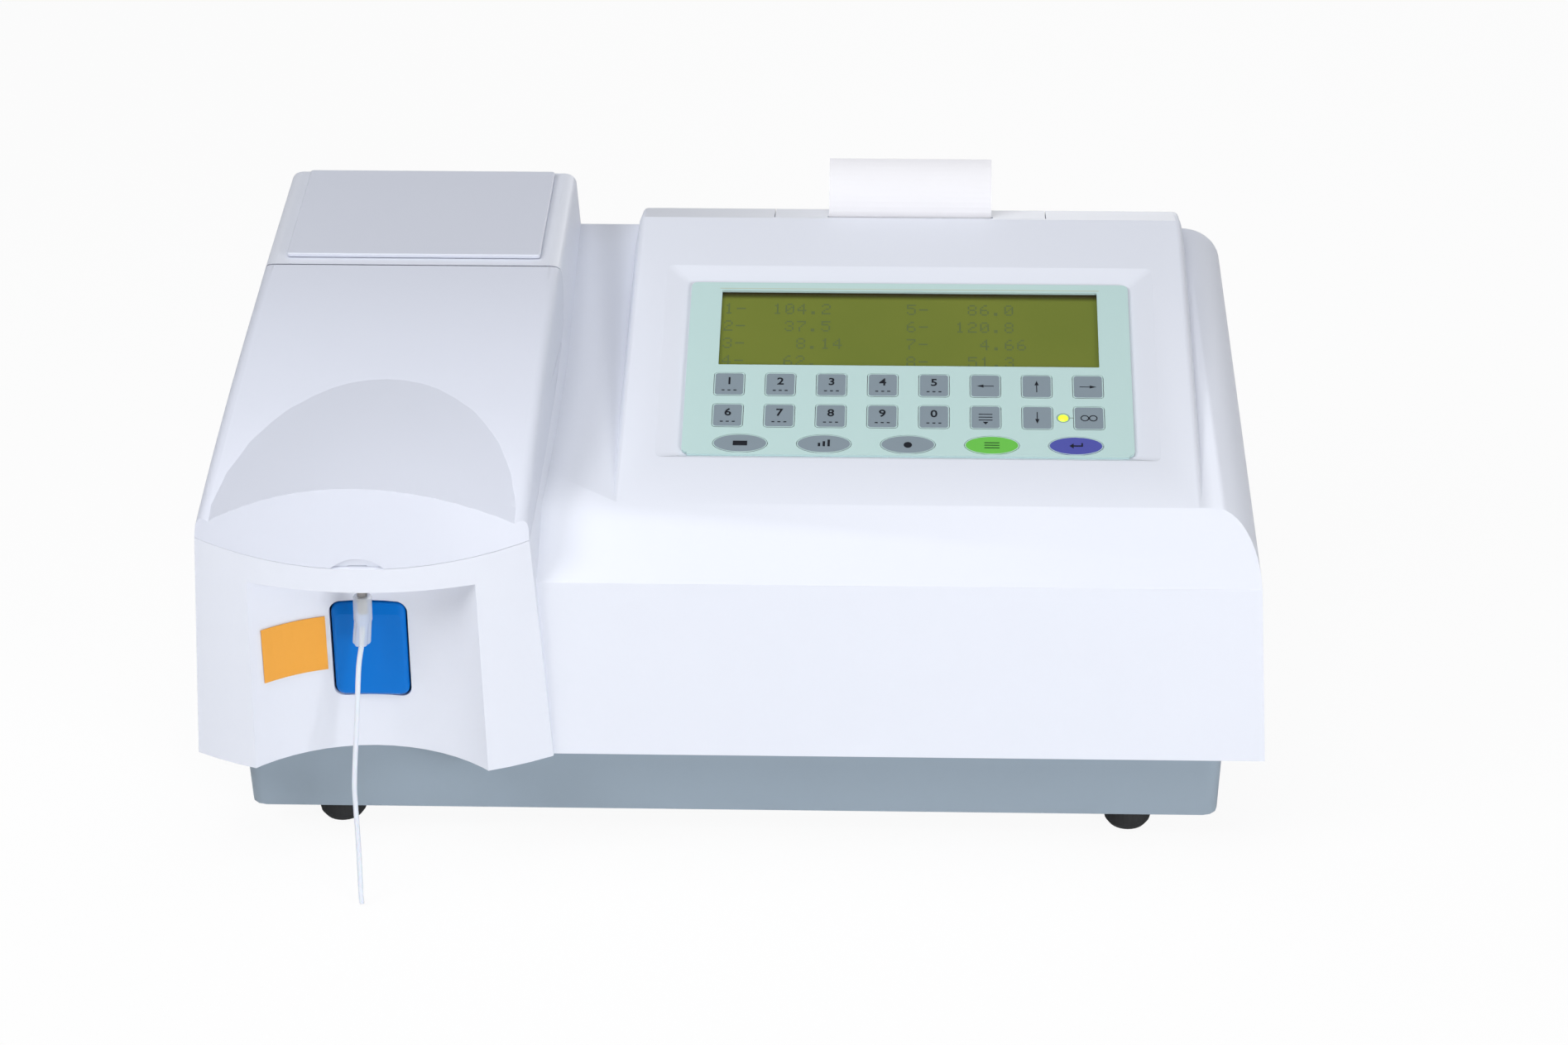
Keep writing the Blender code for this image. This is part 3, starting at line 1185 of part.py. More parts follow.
def make_display():
    low, _ = overlay_levels()
    glass = rounded(0, 0, WINDOW_WIDTH, WINDOW_HEIGHT, GAP)
    glass_top = low - GAP
    glass_low = glass_top - GLASS_THICKNESS
    finish(on_console(prism(glass, "Z", glass_low, glass_top)), "lcd_glass", "lcd")
    board_top = -DISH_DEPTH - WALL - GAP
    board = rounded(0, 0, LCD_BOARD_WIDTH, LCD_BOARD_HEIGHT, OVERLAY_RADIUS)
    module = prism(board, "Z", board_top - LCD_BOARD_THICKNESS, board_top)
    frame = rounded(0, 0, WINDOW_WIDTH, WINDOW_HEIGHT, GAP)
    join(module, prism(frame, "Z", board_top - BOARD_THICKNESS, glass_low - GAP))
    finish(on_console(module), "lcd_module", "board")
    x, y = led_place()
    _, top = overlay_levels()
    lens = [(LED_RADIUS, top - LED_LENGTH), (LED_RADIUS, top), (LED_RADIUS / 2, top + GAP)]
    return finish(on_console(turned("Z", x, y, lens, SMALL_SIDES)), "status_led", "led")


# Aspirate key, nozzle, sleeve, tube and sticker
def make_aspirate_key():
    face = RECESS_BACK_Y - ASPIRATE_PROUD
    key = rounded(NOSE_X, ASPIRATE_CENTRE_Z, ASPIRATE_WIDTH, ASPIRATE_HEIGHT, ASPIRATE_RADIUS)
    bevel = ASPIRATE_BEVEL
    small = rounded(
        NOSE_X,
        ASPIRATE_CENTRE_Z - bevel,
        ASPIRATE_WIDTH - 2 * bevel,
        ASPIRATE_HEIGHT - 4 * bevel,
        ASPIRATE_RADIUS - bevel,
    )
    rings = [(small, face), (key, face + bevel), (key, face + ASPIRATE_BODY)]
    cap = loft([[(x, y, z) for x, z in ring] for ring, y in rings])
    return finish(cap, "aspirate_key", "blue_plastic", (NOSE_X, face, ASPIRATE_CENTRE_Z))


def make_nozzle():
    low, high = RECESS_TOP - NOZZLE_BELOW, RECESS_TOP + WALL + NOZZLE_ABOVE
    tube = cylinder("Z", NOSE_X, NOZZLE_Y, NOZZLE_RADIUS, low, high, SMALL_SIDES)
    base = RECESS_TOP + WALL + GAP
    collar = (base, base + NOZZLE_COLLAR_HEIGHT)
    join(tube, cylinder("Z", NOSE_X, NOZZLE_Y, NOZZLE_COLLAR_RADIUS, *collar, SMALL_SIDES))
    cut(tube, cylinder("Z", NOSE_X, NOZZLE_Y, NOZZLE_BORE, low - OVERRUN, high + OVERRUN, SMALL_SIDES))
    return finish(tube, "aspiration_nozzle", "steel")


def sleeve_ends():
    """Top of the sleeve on the nozzle, and the joint from which its lower half tilts."""
    joint = Vector((NOSE_X, NOZZLE_Y, RECESS_TOP - NOZZLE_BELOW))
    lean = Vector((-sin(SLEEVE_TILT), 0, -cos(SLEEVE_TILT)))
    return joint, lean


def make_sleeve():
    joint, lean = sleeve_ends()
    top = joint + Vector((0, 0, SLEEVE_GRIP))
    below = joint + Vector((0, 0, -GAP))
    end = below + lean * (SLEEVE_LENGTH - SLEEVE_GRIP)
    stations = [(top, SLEEVE_RADIUS), (below, SLEEVE_RADIUS), (end, SLEEVE_RADIUS - TUBE_RADIUS / 2)]
    rings = []
    for centre, radius in stations:
        rings.append([(centre.x + a, centre.y + b, centre.z) for a, b in circle(0, 0, radius, SMALL_SIDES)])
    sleeve = loft(rings)
    bore = NOZZLE_RADIUS + GAP / 2
    cut(sleeve, cylinder("Z", NOSE_X, NOZZLE_Y, bore, below.z, top.z + OVERRUN, SMALL_SIDES))
    start = end - lean * TUBE_INSERT
    past = end + lean * OVERRUN
    rings = []
    for centre in (start, past):
        hole = circle(0, 0, TUBE_RADIUS + GAP / 2, SMALL_SIDES)
        rings.append([(centre.x + a, centre.y + b, centre.z) for a, b in hole])
    cut(sleeve, loft(rings))
    return finish(sleeve, "nozzle_sleeve", "silicone")


# Places that the free tube passes, from the sleeve down to the bench
TUBE_ROUTE = [
    (-0.1208, -0.0902, 0.0800),
    (-0.1217, -0.0938, 0.0653),
    (-0.1232, -0.0993, 0.0429),
    (-0.1231, -0.1018, 0.0338),
    (-0.1224, -0.1058, 0.0200),
    (-0.1219, -0.1108, 0.0042),
    (-0.1217, -0.1116, 0.0012),
]
TUBE_POINTS = 40


def smooth_route(points, count):
    """Evenly spread points on a Catmull-Rom curve through the given ones."""
    points = [Vector(p) for p in points]
    ends = [points[0] * 2 - points[1], *points, points[-1] * 2 - points[-2]]
    dense = []
    for i in range(len(points) - 1):
        a, b, c, d = ends[i : i + 4]
        for step in range(count):
            t = step / count
            first = (c - a) * t + (2 * a - 5 * b + 4 * c - d) * t**2
            dense.append(b + (first + (3 * b - 3 * c + d - a) * t**3) / 2)
    dense.append(points[-1])
    lengths = [0.0]
    for before, after in zip(dense, dense[1:]):
        lengths.append(lengths[-1] + (after - before).length)
    spread = []
    index = 0
    for step in range(count):
        wanted = lengths[-1] * step / (count - 1)
        while index < len(lengths) - 2 and lengths[index + 1] < wanted:
            index += 1
        share = (wanted - lengths[index]) / (lengths[index + 1] - lengths[index])
        spread.append(dense[index].lerp(dense[index + 1], share))
    return spread


def make_tube():
    joint, lean = sleeve_ends()
    end = joint + Vector((0, 0, -GAP)) + lean * (SLEEVE_LENGTH - SLEEVE_GRIP)
    start = end - lean * (TUBE_INSERT - GAP)
    route = [start, end + lean * TUBE_RADIUS] + TUBE_ROUTE
    points = smooth_route(route, TUBE_POINTS)
    curve = bpy.data.curves.new("aspiration_tube", "CURVE")
    curve.dimensions = "3D"
    spline = curve.splines.new("POLY")
    spline.points.add(len(points) - 1)
    for target, point in zip(spline.points, points):
        target.co = (*point, 1)
    curve.bevel_depth = TUBE_RADIUS
    curve.bevel_resolution = 2
    curve.use_fill_caps = True
    curve.materials.append(MATERIALS["tube"])
    tube = bpy.data.objects.new("aspiration_tube", curve)
    bpy.context.scene.collection.objects.link(tube)
    return tube


def make_sticker():
    """A plain amber sticker bent round the left of the recess."""
    radius = RECESS_RADIUS - GAP
    start = pi / 2 + STICKER_START / RECESS_RADIUS
    turn = STICKER_LENGTH / RECESS_RADIUS
    outer = arc(NOSE_X, RECESS_Y, radius, start, start + turn, ARC_STEPS)
    inner = arc(NOSE_X, RECESS_Y, radius - STICKER_THICKNESS, start, start + turn, ARC_STEPS)
    low = STICKER_CENTRE_Z - STICKER_HEIGHT / 2
    sticker = prism(outer + inner[::-1], "Z", low, low + STICKER_HEIGHT)
    return finish(sticker, "amber_sticker", "amber")


# Printer, its cover and the paper
def cover_axis():
    return rear_y(PRINTER_COVER_LOW_Z) - GAP, PRINTER_COVER_LOW_Z + KNUCKLE_RADIUS


def make_printer_cover():
    wall = PRINTER_COVER_WALL
    front = CONSOLE_END_Y + PRINTER_LEDGE + GAP
    low = PRINTER_COVER_LOW_Z + 2 * KNUCKLE_RADIUS + GAP
    rear_top = rear_y(strip_z(rear_y(POD_TOP)))
    outline = [
        (front, strip_z(front)),
        (rear_top, strip_z(rear_top)),
        (rear_y(low), low),
        (rear_y(low) - wall, low),
        (rear_top - wall, strip_z(rear_top) - wall),
        (front, strip_z(front) - wall),
    ]
    left, right = CONSOLE_X - PRINTER_COVER_WIDTH / 2, CONSOLE_X + PRINTER_COVER_WIDTH / 2
    cover = prism(outline, "X", left, right)
    slot = PAPER_WIDTH / 2 + 2 * GAP
    slot_y = (front - OVERRUN, front + SLOT_DEPTH)
    cut(cover, box((CONSOLE_X - slot, CONSOLE_X + slot), slot_y, (low, POD_TOP)))
    axis_y, axis_z = cover_axis()
    inner = left + KNUCKLE_LENGTH + GAP
    far = right - KNUCKLE_LENGTH - GAP
    knuckle = cylinder("X", axis_y, axis_z, KNUCKLE_RADIUS, inner, far, SMALL_SIDES)
    web = box((inner, far), (axis_y - wall / 2, axis_y), (axis_z, low + wall))
    pin = cylinder("X", axis_y, axis_z, KNUCKLE_PIN_RADIUS, left + GAP, right - GAP, SMALL_SIDES)
    join(cover, knuckle, web, pin)
    return finish(cover, "printer_cover", "shell", (CONSOLE_X, axis_y, axis_z))


def housing_knuckles():
    """Bored knuckles at both ends of the printer cover's hinge, on the edge of the bay."""
    axis_y, axis_z = cover_axis()
    knuckles = []
    for side in (-1, 1):
        edge = CONSOLE_X + side * (PRINTER_COVER_WIDTH / 2 + WALL)
        inner = CONSOLE_X + side * (PRINTER_COVER_WIDTH / 2 - KNUCKLE_LENGTH)
        low, high = min(edge, inner), max(edge, inner)
        knuckle = cylinder("X", axis_y, axis_z, KNUCKLE_RADIUS, low, high, SMALL_SIDES)
        foot_z = (PRINTER_COVER_LOW_Z - WALL, axis_z)
        join(knuckle, box((low, high), (axis_y - KNUCKLE_RADIUS, axis_y), foot_z))
        far = edge - side * WALL / 2
        span = (min(far, inner - side * OVERRUN), max(far, inner - side * OVERRUN))
        bore = KNUCKLE_PIN_RADIUS + PIN_GAP
        knuckles.append(cut(knuckle, cylinder("X", axis_y, axis_z, bore, *span, SMALL_SIDES)))
    return knuckles


def make_paper():
    """The printed strip's free end, curling back over the cover; it rides with the cover."""
    y = CONSOLE_END_Y + PRINTER_LEDGE + GAP + SLOT_DEPTH / 2
    start_z = strip_z(y)
    centre = (y + PAPER_RADIUS, start_z)
    outer = arc(*centre, PAPER_RADIUS, pi, pi - PAPER_TURN, 2 * ARC_STEPS)
    inner = arc(*centre, PAPER_RADIUS - PAPER_THICKNESS, pi, pi - PAPER_TURN, 2 * ARC_STEPS)
    tail = [(y + PAPER_THICKNESS, start_z - PAPER_TAIL), (y, start_z - PAPER_TAIL)]
    outline = outer + inner[::-1] + tail
    half = PAPER_WIDTH / 2
    return finish(prism(outline, "X", CONSOLE_X - half, CONSOLE_X + half), "paper_strip", "paper")


def make_printer():
    half = PAPER_WIDTH / 2 + 2 * GAP + PRINTER_PLATE
    top_inset = WALL / cos(CONSOLE_PITCH) + GAP
    front, rear = PRINTER_PLATE_FRONT_Y, PRINTER_PLATE_REAR_Y
    slot_front = CONSOLE_END_Y
    outline = [
        (front, PRINTER_PLATE_LOW_Z),
        (rear, PRINTER_PLATE_LOW_Z),
        (rear, PLATEN_Z + PLATEN_RADIUS),
        (slot_front, console_z(slot_front) - top_inset - WALL),
        (front, console_z(front) - top_inset),
    ]
    printer = prism(outline, "X", CONSOLE_X - half, CONSOLE_X + half)
    inside = half - PRINTER_PLATE
    high = PLATEN_Z + 2 * CORNER_RADIUS
    hollow = (CONSOLE_X - inside, CONSOLE_X + inside)
    bar_low = PLATEN_Z - PLATEN_RADIUS
    cut(printer, box(hollow, (front - OVERRUN, rear + OVERRUN), (0, bar_low)))
    head_y = PLATEN_Y - PLATEN_RADIUS - GAP
    cut(printer, box(hollow, (head_y, rear + OVERRUN), (0, high)))
    cut(printer, box(hollow, (front - OVERRUN, head_y - PRINTER_BODY_DEPTH), (0, high)))
    cut(printer, box(hollow, (front, head_y - HEAD_THICKNESS), (bar_low + PRINTER_BODY_HEIGHT, high)))
    for y, z, radius in ((ROLL_Y, ROLL_Z, 2 * SHAFT_RADIUS), (PLATEN_Y, PLATEN_Z, SHAFT_RADIUS)):
        bore = radius + PIN_GAP
        cut(printer, cylinder("X", y, z, bore, LEFT_X, RIGHT_X, SMALL_SIDES))
    finish(printer, "printer_mechanism", "black_plastic")
    reach = PAPER_WIDTH / 2 + GAP
    platen = cylinder("X", PLATEN_Y, PLATEN_Z, PLATEN_RADIUS, CONSOLE_X - reach, CONSOLE_X + reach)
    shaft = half + WALL
    pin = cylinder("X", PLATEN_Y, PLATEN_Z, SHAFT_RADIUS, CONSOLE_X - shaft, CONSOLE_X + shaft, SMALL_SIDES)
    finish(join(platen, pin), "platen_roller", "rubber", (CONSOLE_X, PLATEN_Y, PLATEN_Z))
    low, high = CONSOLE_X - PAPER_WIDTH / 2, CONSOLE_X + PAPER_WIDTH / 2
    roll = cylinder("X", ROLL_Y, ROLL_Z, ROLL_RADIUS, low, high)
    low, high = CONSOLE_X - half, CONSOLE_X + half
    spindle = cylinder("X", ROLL_Y, ROLL_Z, 2 * SHAFT_RADIUS, low, high, SMALL_SIDES)
    return finish(join(roll, spindle), "paper_roll", "paper", (CONSOLE_X, ROLL_Y, ROLL_Z))


# Rear panel and its fittings
def panel_z():
    return PANEL_LOW_Z + PANEL_HEIGHT / 2


def panel_face():
    """Outer face of the rear panel, behind the housing's rear wall."""
    return rear_y(PANEL_LOW_Z + PANEL_HEIGHT) - WALL - PANEL_RECESS


def switch_axis_y():
    return panel_face() - PANEL_THICKNESS / 2


def make_rear_panel():
    face = panel_face()
    lap = PANEL_LAP
    width, height = PANEL_WIDTH + 2 * lap, PANEL_HEIGHT + 2 * lap
    outline = rounded(PANEL_CENTRE_X, panel_z(), width, height, OVERLAY_RADIUS)
    panel = prism(outline, "Y", face - PANEL_THICKNESS, face)
    rim = rear_y(PANEL_LOW_Z + PANEL_HEIGHT + lap) - WALL - GAP
    ring = prism(outline, "Y", face - PANEL_THICKNESS, rim)
    hollow = rounded(PANEL_CENTRE_X, panel_z(), PANEL_WIDTH, PANEL_HEIGHT, OVERLAY_RADIUS)
    join(panel, cut(ring, prism(hollow, "Y", face, rim + OVERRUN)))
    span = (face - PANEL_THICKNESS - OVERRUN, face + OVERRUN)
    # Raised frame round the switch, with the pin that its rocker tilts on
    switch = rounded(SWITCH_X, panel_z(), SWITCH_WIDTH, SWITCH_HEIGHT, GAP)
    frame = prism(switch, "Y", face - GAP, face + SWITCH_FRAME)
    join(panel, frame)
    inside = 2 * SWITCH_FRAME - 2 * GAP
    for x, width, height in (
        (INLET_X, INLET_WIDTH, INLET_HEIGHT),
        (SWITCH_X, SWITCH_WIDTH - inside, SWITCH_HEIGHT - inside),
        (SERIAL_X, SERIAL_WIDTH - 2 * INLET_FLANGE, SERIAL_HEIGHT - INLET_FLANGE),
    ):
        cut(panel, prism(rounded(x, panel_z(), width + 2 * GAP, height + 2 * GAP, GAP), "Y", *span))
    ends = (SWITCH_X - SWITCH_WIDTH / 2 + GAP, SWITCH_X + SWITCH_WIDTH / 2 - GAP)
    join(panel, cylinder("X", switch_axis_y(), panel_z(), KNUCKLE_PIN_RADIUS, *ends, SMALL_SIDES))
    pitch = (FAN_BORE - FAN_HUB / 2) / GRILLE_RINGS
    for i in range(GRILLE_RINGS):
        middle = FAN_HUB / 2 + pitch * (i + 1 / 2)
        for quarter in range(4):
            start = quarter * pi / 2 + pi / 12
            end = start + pi / 3
            outer = arc(FAN_X, panel_z(), middle + GRILLE_SLOT / 2, start, end, ARC_STEPS)
            inner = arc(FAN_X, panel_z(), middle - GRILLE_SLOT / 2, start, end, ARC_STEPS)
            cut(panel, prism(outer + inner[::-1], "Y", *span))
    barb = cylinder("Y", DRAIN_X, panel_z(), DRAIN_RADIUS, face - WALL, face + DRAIN_LENGTH, SMALL_SIDES)
    join(panel, barb)
    cut(panel, cylinder("Y", DRAIN_X, panel_z(), DRAIN_RADIUS / 2, span[0] - OVERRUN, span[1], SMALL_SIDES))
    return finish(panel, "rear_panel", "tray")


def make_rear_fittings():
    face = panel_face()
    z = panel_z()
    behind = face - PANEL_THICKNESS
    front = face + GAP + SWITCH_FRAME
    inlet = prism(rounded(INLET_X, z, INLET_WIDTH, INLET_HEIGHT, 2 * GAP), "Y", behind - INLET_DEPTH, front)
    flange = rounded(INLET_X, z, INLET_WIDTH + 2 * INLET_FLANGE, INLET_HEIGHT + 2 * INLET_FLANGE, GAP)
    join(inlet, prism(flange, "Y", face + GAP, front))
    socket_w, socket_h = INLET_WIDTH - 2 * INLET_FLANGE, INLET_HEIGHT - 2 * INLET_FLANGE
    depth = 2 * INLET_DEPTH / 3
    socket = rounded(INLET_X, z, socket_w, socket_h, INLET_FLANGE)
    cut(inlet, prism(socket, "Y", front - depth, front + OVERRUN))
    for shift, lift in ((-1, -1), (0, 1), (1, -1)):
        x = INLET_X + shift * socket_w / 4
        height = z + lift * socket_h / 8
        low, high = height - SHAFT_RADIUS, height + SHAFT_RADIUS
        blade = block((x, front - depth / 2), SHAFT_RADIUS, depth - OVERRUN / 3, low, high)
        root = block((x, front - depth), SHAFT_RADIUS, depth / 2, low, high)
        join(inlet, join(blade, root))
    finish(inlet, "power_inlet", "black_plastic")
    half_w, radius = SWITCH_WIDTH / 2 - SWITCH_FRAME, SWITCH_HEIGHT / 2 - SWITCH_FRAME
    axis_y = switch_axis_y()
    rocker = cylinder("X", 0, 0, radius, SWITCH_X - half_w, SWITCH_X + half_w)
    flat_y = PANEL_THICKNESS / 2 + radius * sin(ROCKER_TILT)
    cut(rocker, box((LEFT_X, RIGHT_X), (flat_y, 2 * radius), (-2 * radius, 2 * radius)))
    bore = KNUCKLE_PIN_RADIUS + PIN_GAP
    cut(rocker, cylinder("X", 0, 0, bore, LEFT_X, RIGHT_X, SMALL_SIDES))
    rocker.data.transform(Matrix.Translation((0, axis_y, z)) @ Matrix.Rotation(ROCKER_TILT, 4, "X"))
    finish(rocker, "power_rocker", "black_plastic", (SWITCH_X, axis_y, z))
    shell = rounded(SERIAL_X, z, SERIAL_WIDTH, SERIAL_HEIGHT, GAP)
    serial = prism(shell, "Y", face + GAP, front - GAP)
    core_w, core_h = SERIAL_WIDTH - 2 * INLET_FLANGE, SERIAL_HEIGHT - INLET_FLANGE
    join(serial, prism(rounded(SERIAL_X, z, core_w, core_h, GAP), "Y", behind - SERIAL_DEPTH, face + WALL))
    hole = rounded(SERIAL_X, z, core_w - 2 * WALL, core_h - WALL, INLET_FLANGE)
    cut(serial, prism(hole, "Y", behind, face + OVERRUN))
    return finish(serial, "serial_port", "steel")


def make_fan():
    """Frame with a hub on struts, and the bladed rotor on the hub's spindle."""
    z = panel_z()
    rear = panel_face() - PANEL_THICKNESS - GAP
    front = rear - FAN_DEPTH
    frame = prism(rounded(FAN_X, z, FAN_SIZE, FAN_SIZE, WALL), "Y", front, rear)
    cut(frame, cylinder("Y", FAN_X, z, FAN_BORE, front - OVERRUN, rear + OVERRUN))
    strut = PANEL_THICKNESS
    for turn in (0, 1):
        spans = [(FAN_X - FAN_BORE - strut, FAN_X + FAN_BORE + strut), (z - strut / 2, z + strut / 2)]
        if turn:
            spans = [(FAN_X - strut / 2, FAN_X + strut / 2), (z - FAN_BORE - strut, z + FAN_BORE + strut)]
        join(frame, box(spans[0], (front, front + strut), spans[1]))
    join(frame, cylinder("Y", FAN_X, z, FAN_HUB, front, front + strut, SMALL_SIDES))
    join(frame, cylinder("Y", FAN_X, z, FAN_SPINDLE_RADIUS, front, rear - 2 * strut, SMALL_SIDES))
    finish(frame, "fan_frame", "black_plastic")
    low, high = front + strut + GAP, rear - strut
    rotor = cylinder("Y", FAN_X, z, FAN_HUB, low, high)
    tip = FAN_BORE - RUNNING_GAP
    for i in range(FAN_BLADES):
        turn = 2 * pi * i / FAN_BLADES
        half = FAN_BLADE_THICKNESS / 2
        middle, reach = (low + high) / 2, (high - low) / 2 - GAP
        lean = reach * tan(pi / 5)
        ring = [
            (-half - lean, middle - reach),
            (half - lean, middle - reach),
            (half + lean, middle + reach),
            (-half + lean, middle + reach),
        ]
        blade = loft([[(a, b, r) for a, b in ring] for r in (FAN_HUB - WALL, tip - FAN_BLADE_THICKNESS)])
        blade.data.transform(Matrix.Translation((FAN_X, 0, z)) @ Matrix.Rotation(turn, 4, "Y"))
        join(rotor, blade)
    bore = FAN_SPINDLE_RADIUS + PIN_GAP
    cut(rotor, cylinder("Y", FAN_X, z, bore, low - OVERRUN, rear - strut - strut / 2, SMALL_SIDES))
    return finish(rotor, "fan_rotor", "black_plastic", (FAN_X, low, z))


def clear_scene():
    for item in list(bpy.data.objects):
        bpy.data.objects.remove(item)


clear_scene()
MATERIALS = {
    "shell": material("shell", (0.72, 0.75, 0.82), 0.42),
    "tray": material("tray", (0.30, 0.37, 0.43), 0.45),
    "rubber": material("rubber", (0.012, 0.012, 0.013), 0.7),
    "overlay": material("overlay", (0.52, 0.70, 0.68), 0.35),
    "grey_key": material("grey_key", (0.24, 0.27, 0.31), 0.45),
    "green_key": material("green_key", (0.16, 0.58, 0.08), 0.45),
    "blue_key": material("blue_key", (0.07, 0.08, 0.40), 0.45),
    "blue_plastic": material("blue_plastic", (0.0, 0.16, 0.60), 0.35),
    "lcd": material("lcd", (0.18, 0.21, 0.03), 0.12),
    "led": material("led", (0.55, 0.85, 0.05), 0.2),
    "steel": material("steel", (0.55, 0.56, 0.58), 0.3, 1.0),
    "aluminium": material("aluminium", (0.7, 0.71, 0.73), 0.35, 1.0),
    "anodised": material("anodised", (0.03, 0.03, 0.035), 0.4, 0.8),
    "quartz": material("quartz", (0.85, 0.9, 0.92), 0.05, 0.0, 0.4),
    "board": material("board", (0.02, 0.18, 0.07), 0.5),
    "black_plastic": material("black_plastic", (0.02, 0.02, 0.022), 0.5),
    "white_plastic": material("white_plastic", (0.8, 0.8, 0.78), 0.4),
    "silicone": material("silicone", (0.75, 0.79, 0.83), 0.25, 0.0, 0.6),
    "tube": material("tube", (0.85, 0.88, 0.92), 0.3),
    "paper": material("paper", (0.86, 0.86, 0.88), 0.8),
    "amber": material("amber", (0.95, 0.42, 0.05), 0.5),
}
make_housing()
make_lid()
make_lamp_cover()
make_tray()
make_feet()
make_mainboard()
make_power_supply()
make_deck()
make_optics()
make_lamp()
make_filter_wheel()
make_pump()
console_frame = bpy.data.objects.new("console_frame", None)
bpy.context.scene.collection.objects.link(console_frame)
console_frame.matrix_world = console_matrix()
make_overlay()
make_keys(console_frame)
make_display()
make_aspirate_key()
make_nozzle()
make_sleeve()
make_tube()
make_sticker()
make_printer_cover()
make_paper()
make_printer()
make_rear_panel()
make_rear_fittings()
make_fan()
for item in bpy.data.objects:
    if item.parent is None:
        item.location.y -= ORIGIN_SET_BACK
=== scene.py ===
import json
import math

import bmesh
import bpy
from mathutils import Matrix, Vector


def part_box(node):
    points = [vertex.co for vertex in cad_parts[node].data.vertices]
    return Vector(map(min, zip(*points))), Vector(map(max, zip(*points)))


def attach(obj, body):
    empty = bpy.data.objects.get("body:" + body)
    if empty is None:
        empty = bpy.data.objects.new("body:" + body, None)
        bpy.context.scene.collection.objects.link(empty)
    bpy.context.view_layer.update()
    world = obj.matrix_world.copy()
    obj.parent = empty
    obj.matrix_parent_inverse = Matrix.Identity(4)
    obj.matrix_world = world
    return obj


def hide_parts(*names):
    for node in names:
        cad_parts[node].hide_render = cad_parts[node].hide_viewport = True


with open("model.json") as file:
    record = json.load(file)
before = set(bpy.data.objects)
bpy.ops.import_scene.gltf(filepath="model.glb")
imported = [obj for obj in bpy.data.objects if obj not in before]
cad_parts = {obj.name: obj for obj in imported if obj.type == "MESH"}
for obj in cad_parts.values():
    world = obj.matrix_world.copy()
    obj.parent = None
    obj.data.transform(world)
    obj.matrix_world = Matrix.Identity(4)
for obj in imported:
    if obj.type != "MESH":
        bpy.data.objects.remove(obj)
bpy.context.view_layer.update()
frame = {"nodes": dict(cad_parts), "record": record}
record = frame["record"]
scene = bpy.context.scene
scene.view_settings.view_transform = "Standard"

# Camera at the photo's place
camera = {
    "place": (0.05876, -1.25822, 0.81070),
    "down": 30.0,  # degrees below level
    "turn": -1.96,
    "roll": -0.43,
    "focal": 96.886,
    "sensor": 36.0,
    "reach": 20,
}


def makeCamera(values):
    down, turn, roll = (math.radians(values[k]) for k in ("down", "turn", "roll"))
    ahead = Vector((math.sin(turn) * math.cos(down), math.cos(turn) * math.cos(down), -math.sin(down)))
    side = Vector((math.cos(turn), -math.sin(turn), 0))
    above = side.cross(ahead)
    sideRolled = side * math.cos(roll) + above * math.sin(roll)
    aboveRolled = above * math.cos(roll) - side * math.sin(roll)
    data = bpy.data.cameras.new("photoCamera")
    data.sensor_width = values["sensor"]
    data.lens = values["focal"]
    data.clip_end = values["reach"]
    made = bpy.data.objects.new("photoCamera", data)
    scene.collection.objects.link(made)
    matrix = Matrix((sideRolled, aboveRolled, -ahead)).transposed().to_4x4()
    matrix.translation = values["place"]
    made.matrix_world = matrix
    scene.camera = made


makeCamera(camera)
print("camera placed")


# Shader helpers
def addNode(tree, kind, **values):
    node = tree.nodes.new(kind)
    for key, value in values.items():
        setattr(node, key, value)
    return node


def makeGroup(name, inputs, outputs):
    group = bpy.data.node_groups.new(name, "ShaderNodeTree")
    for socket, kind, value in inputs:
        made = group.interface.new_socket(socket, in_out="INPUT", socket_type=kind)
        made.default_value = value
    for socket, kind in outputs:
        group.interface.new_socket(socket, in_out="OUTPUT", socket_type=kind)
    return group, group.nodes.new("NodeGroupInput"), group.nodes.new("NodeGroupOutput")


mixSockets = {"first": 6, "second": 7, "result": 2}  # the colour sockets of a Mix node
detail = {"cloud": 3, "grain": 2}  # octaves of the two noises


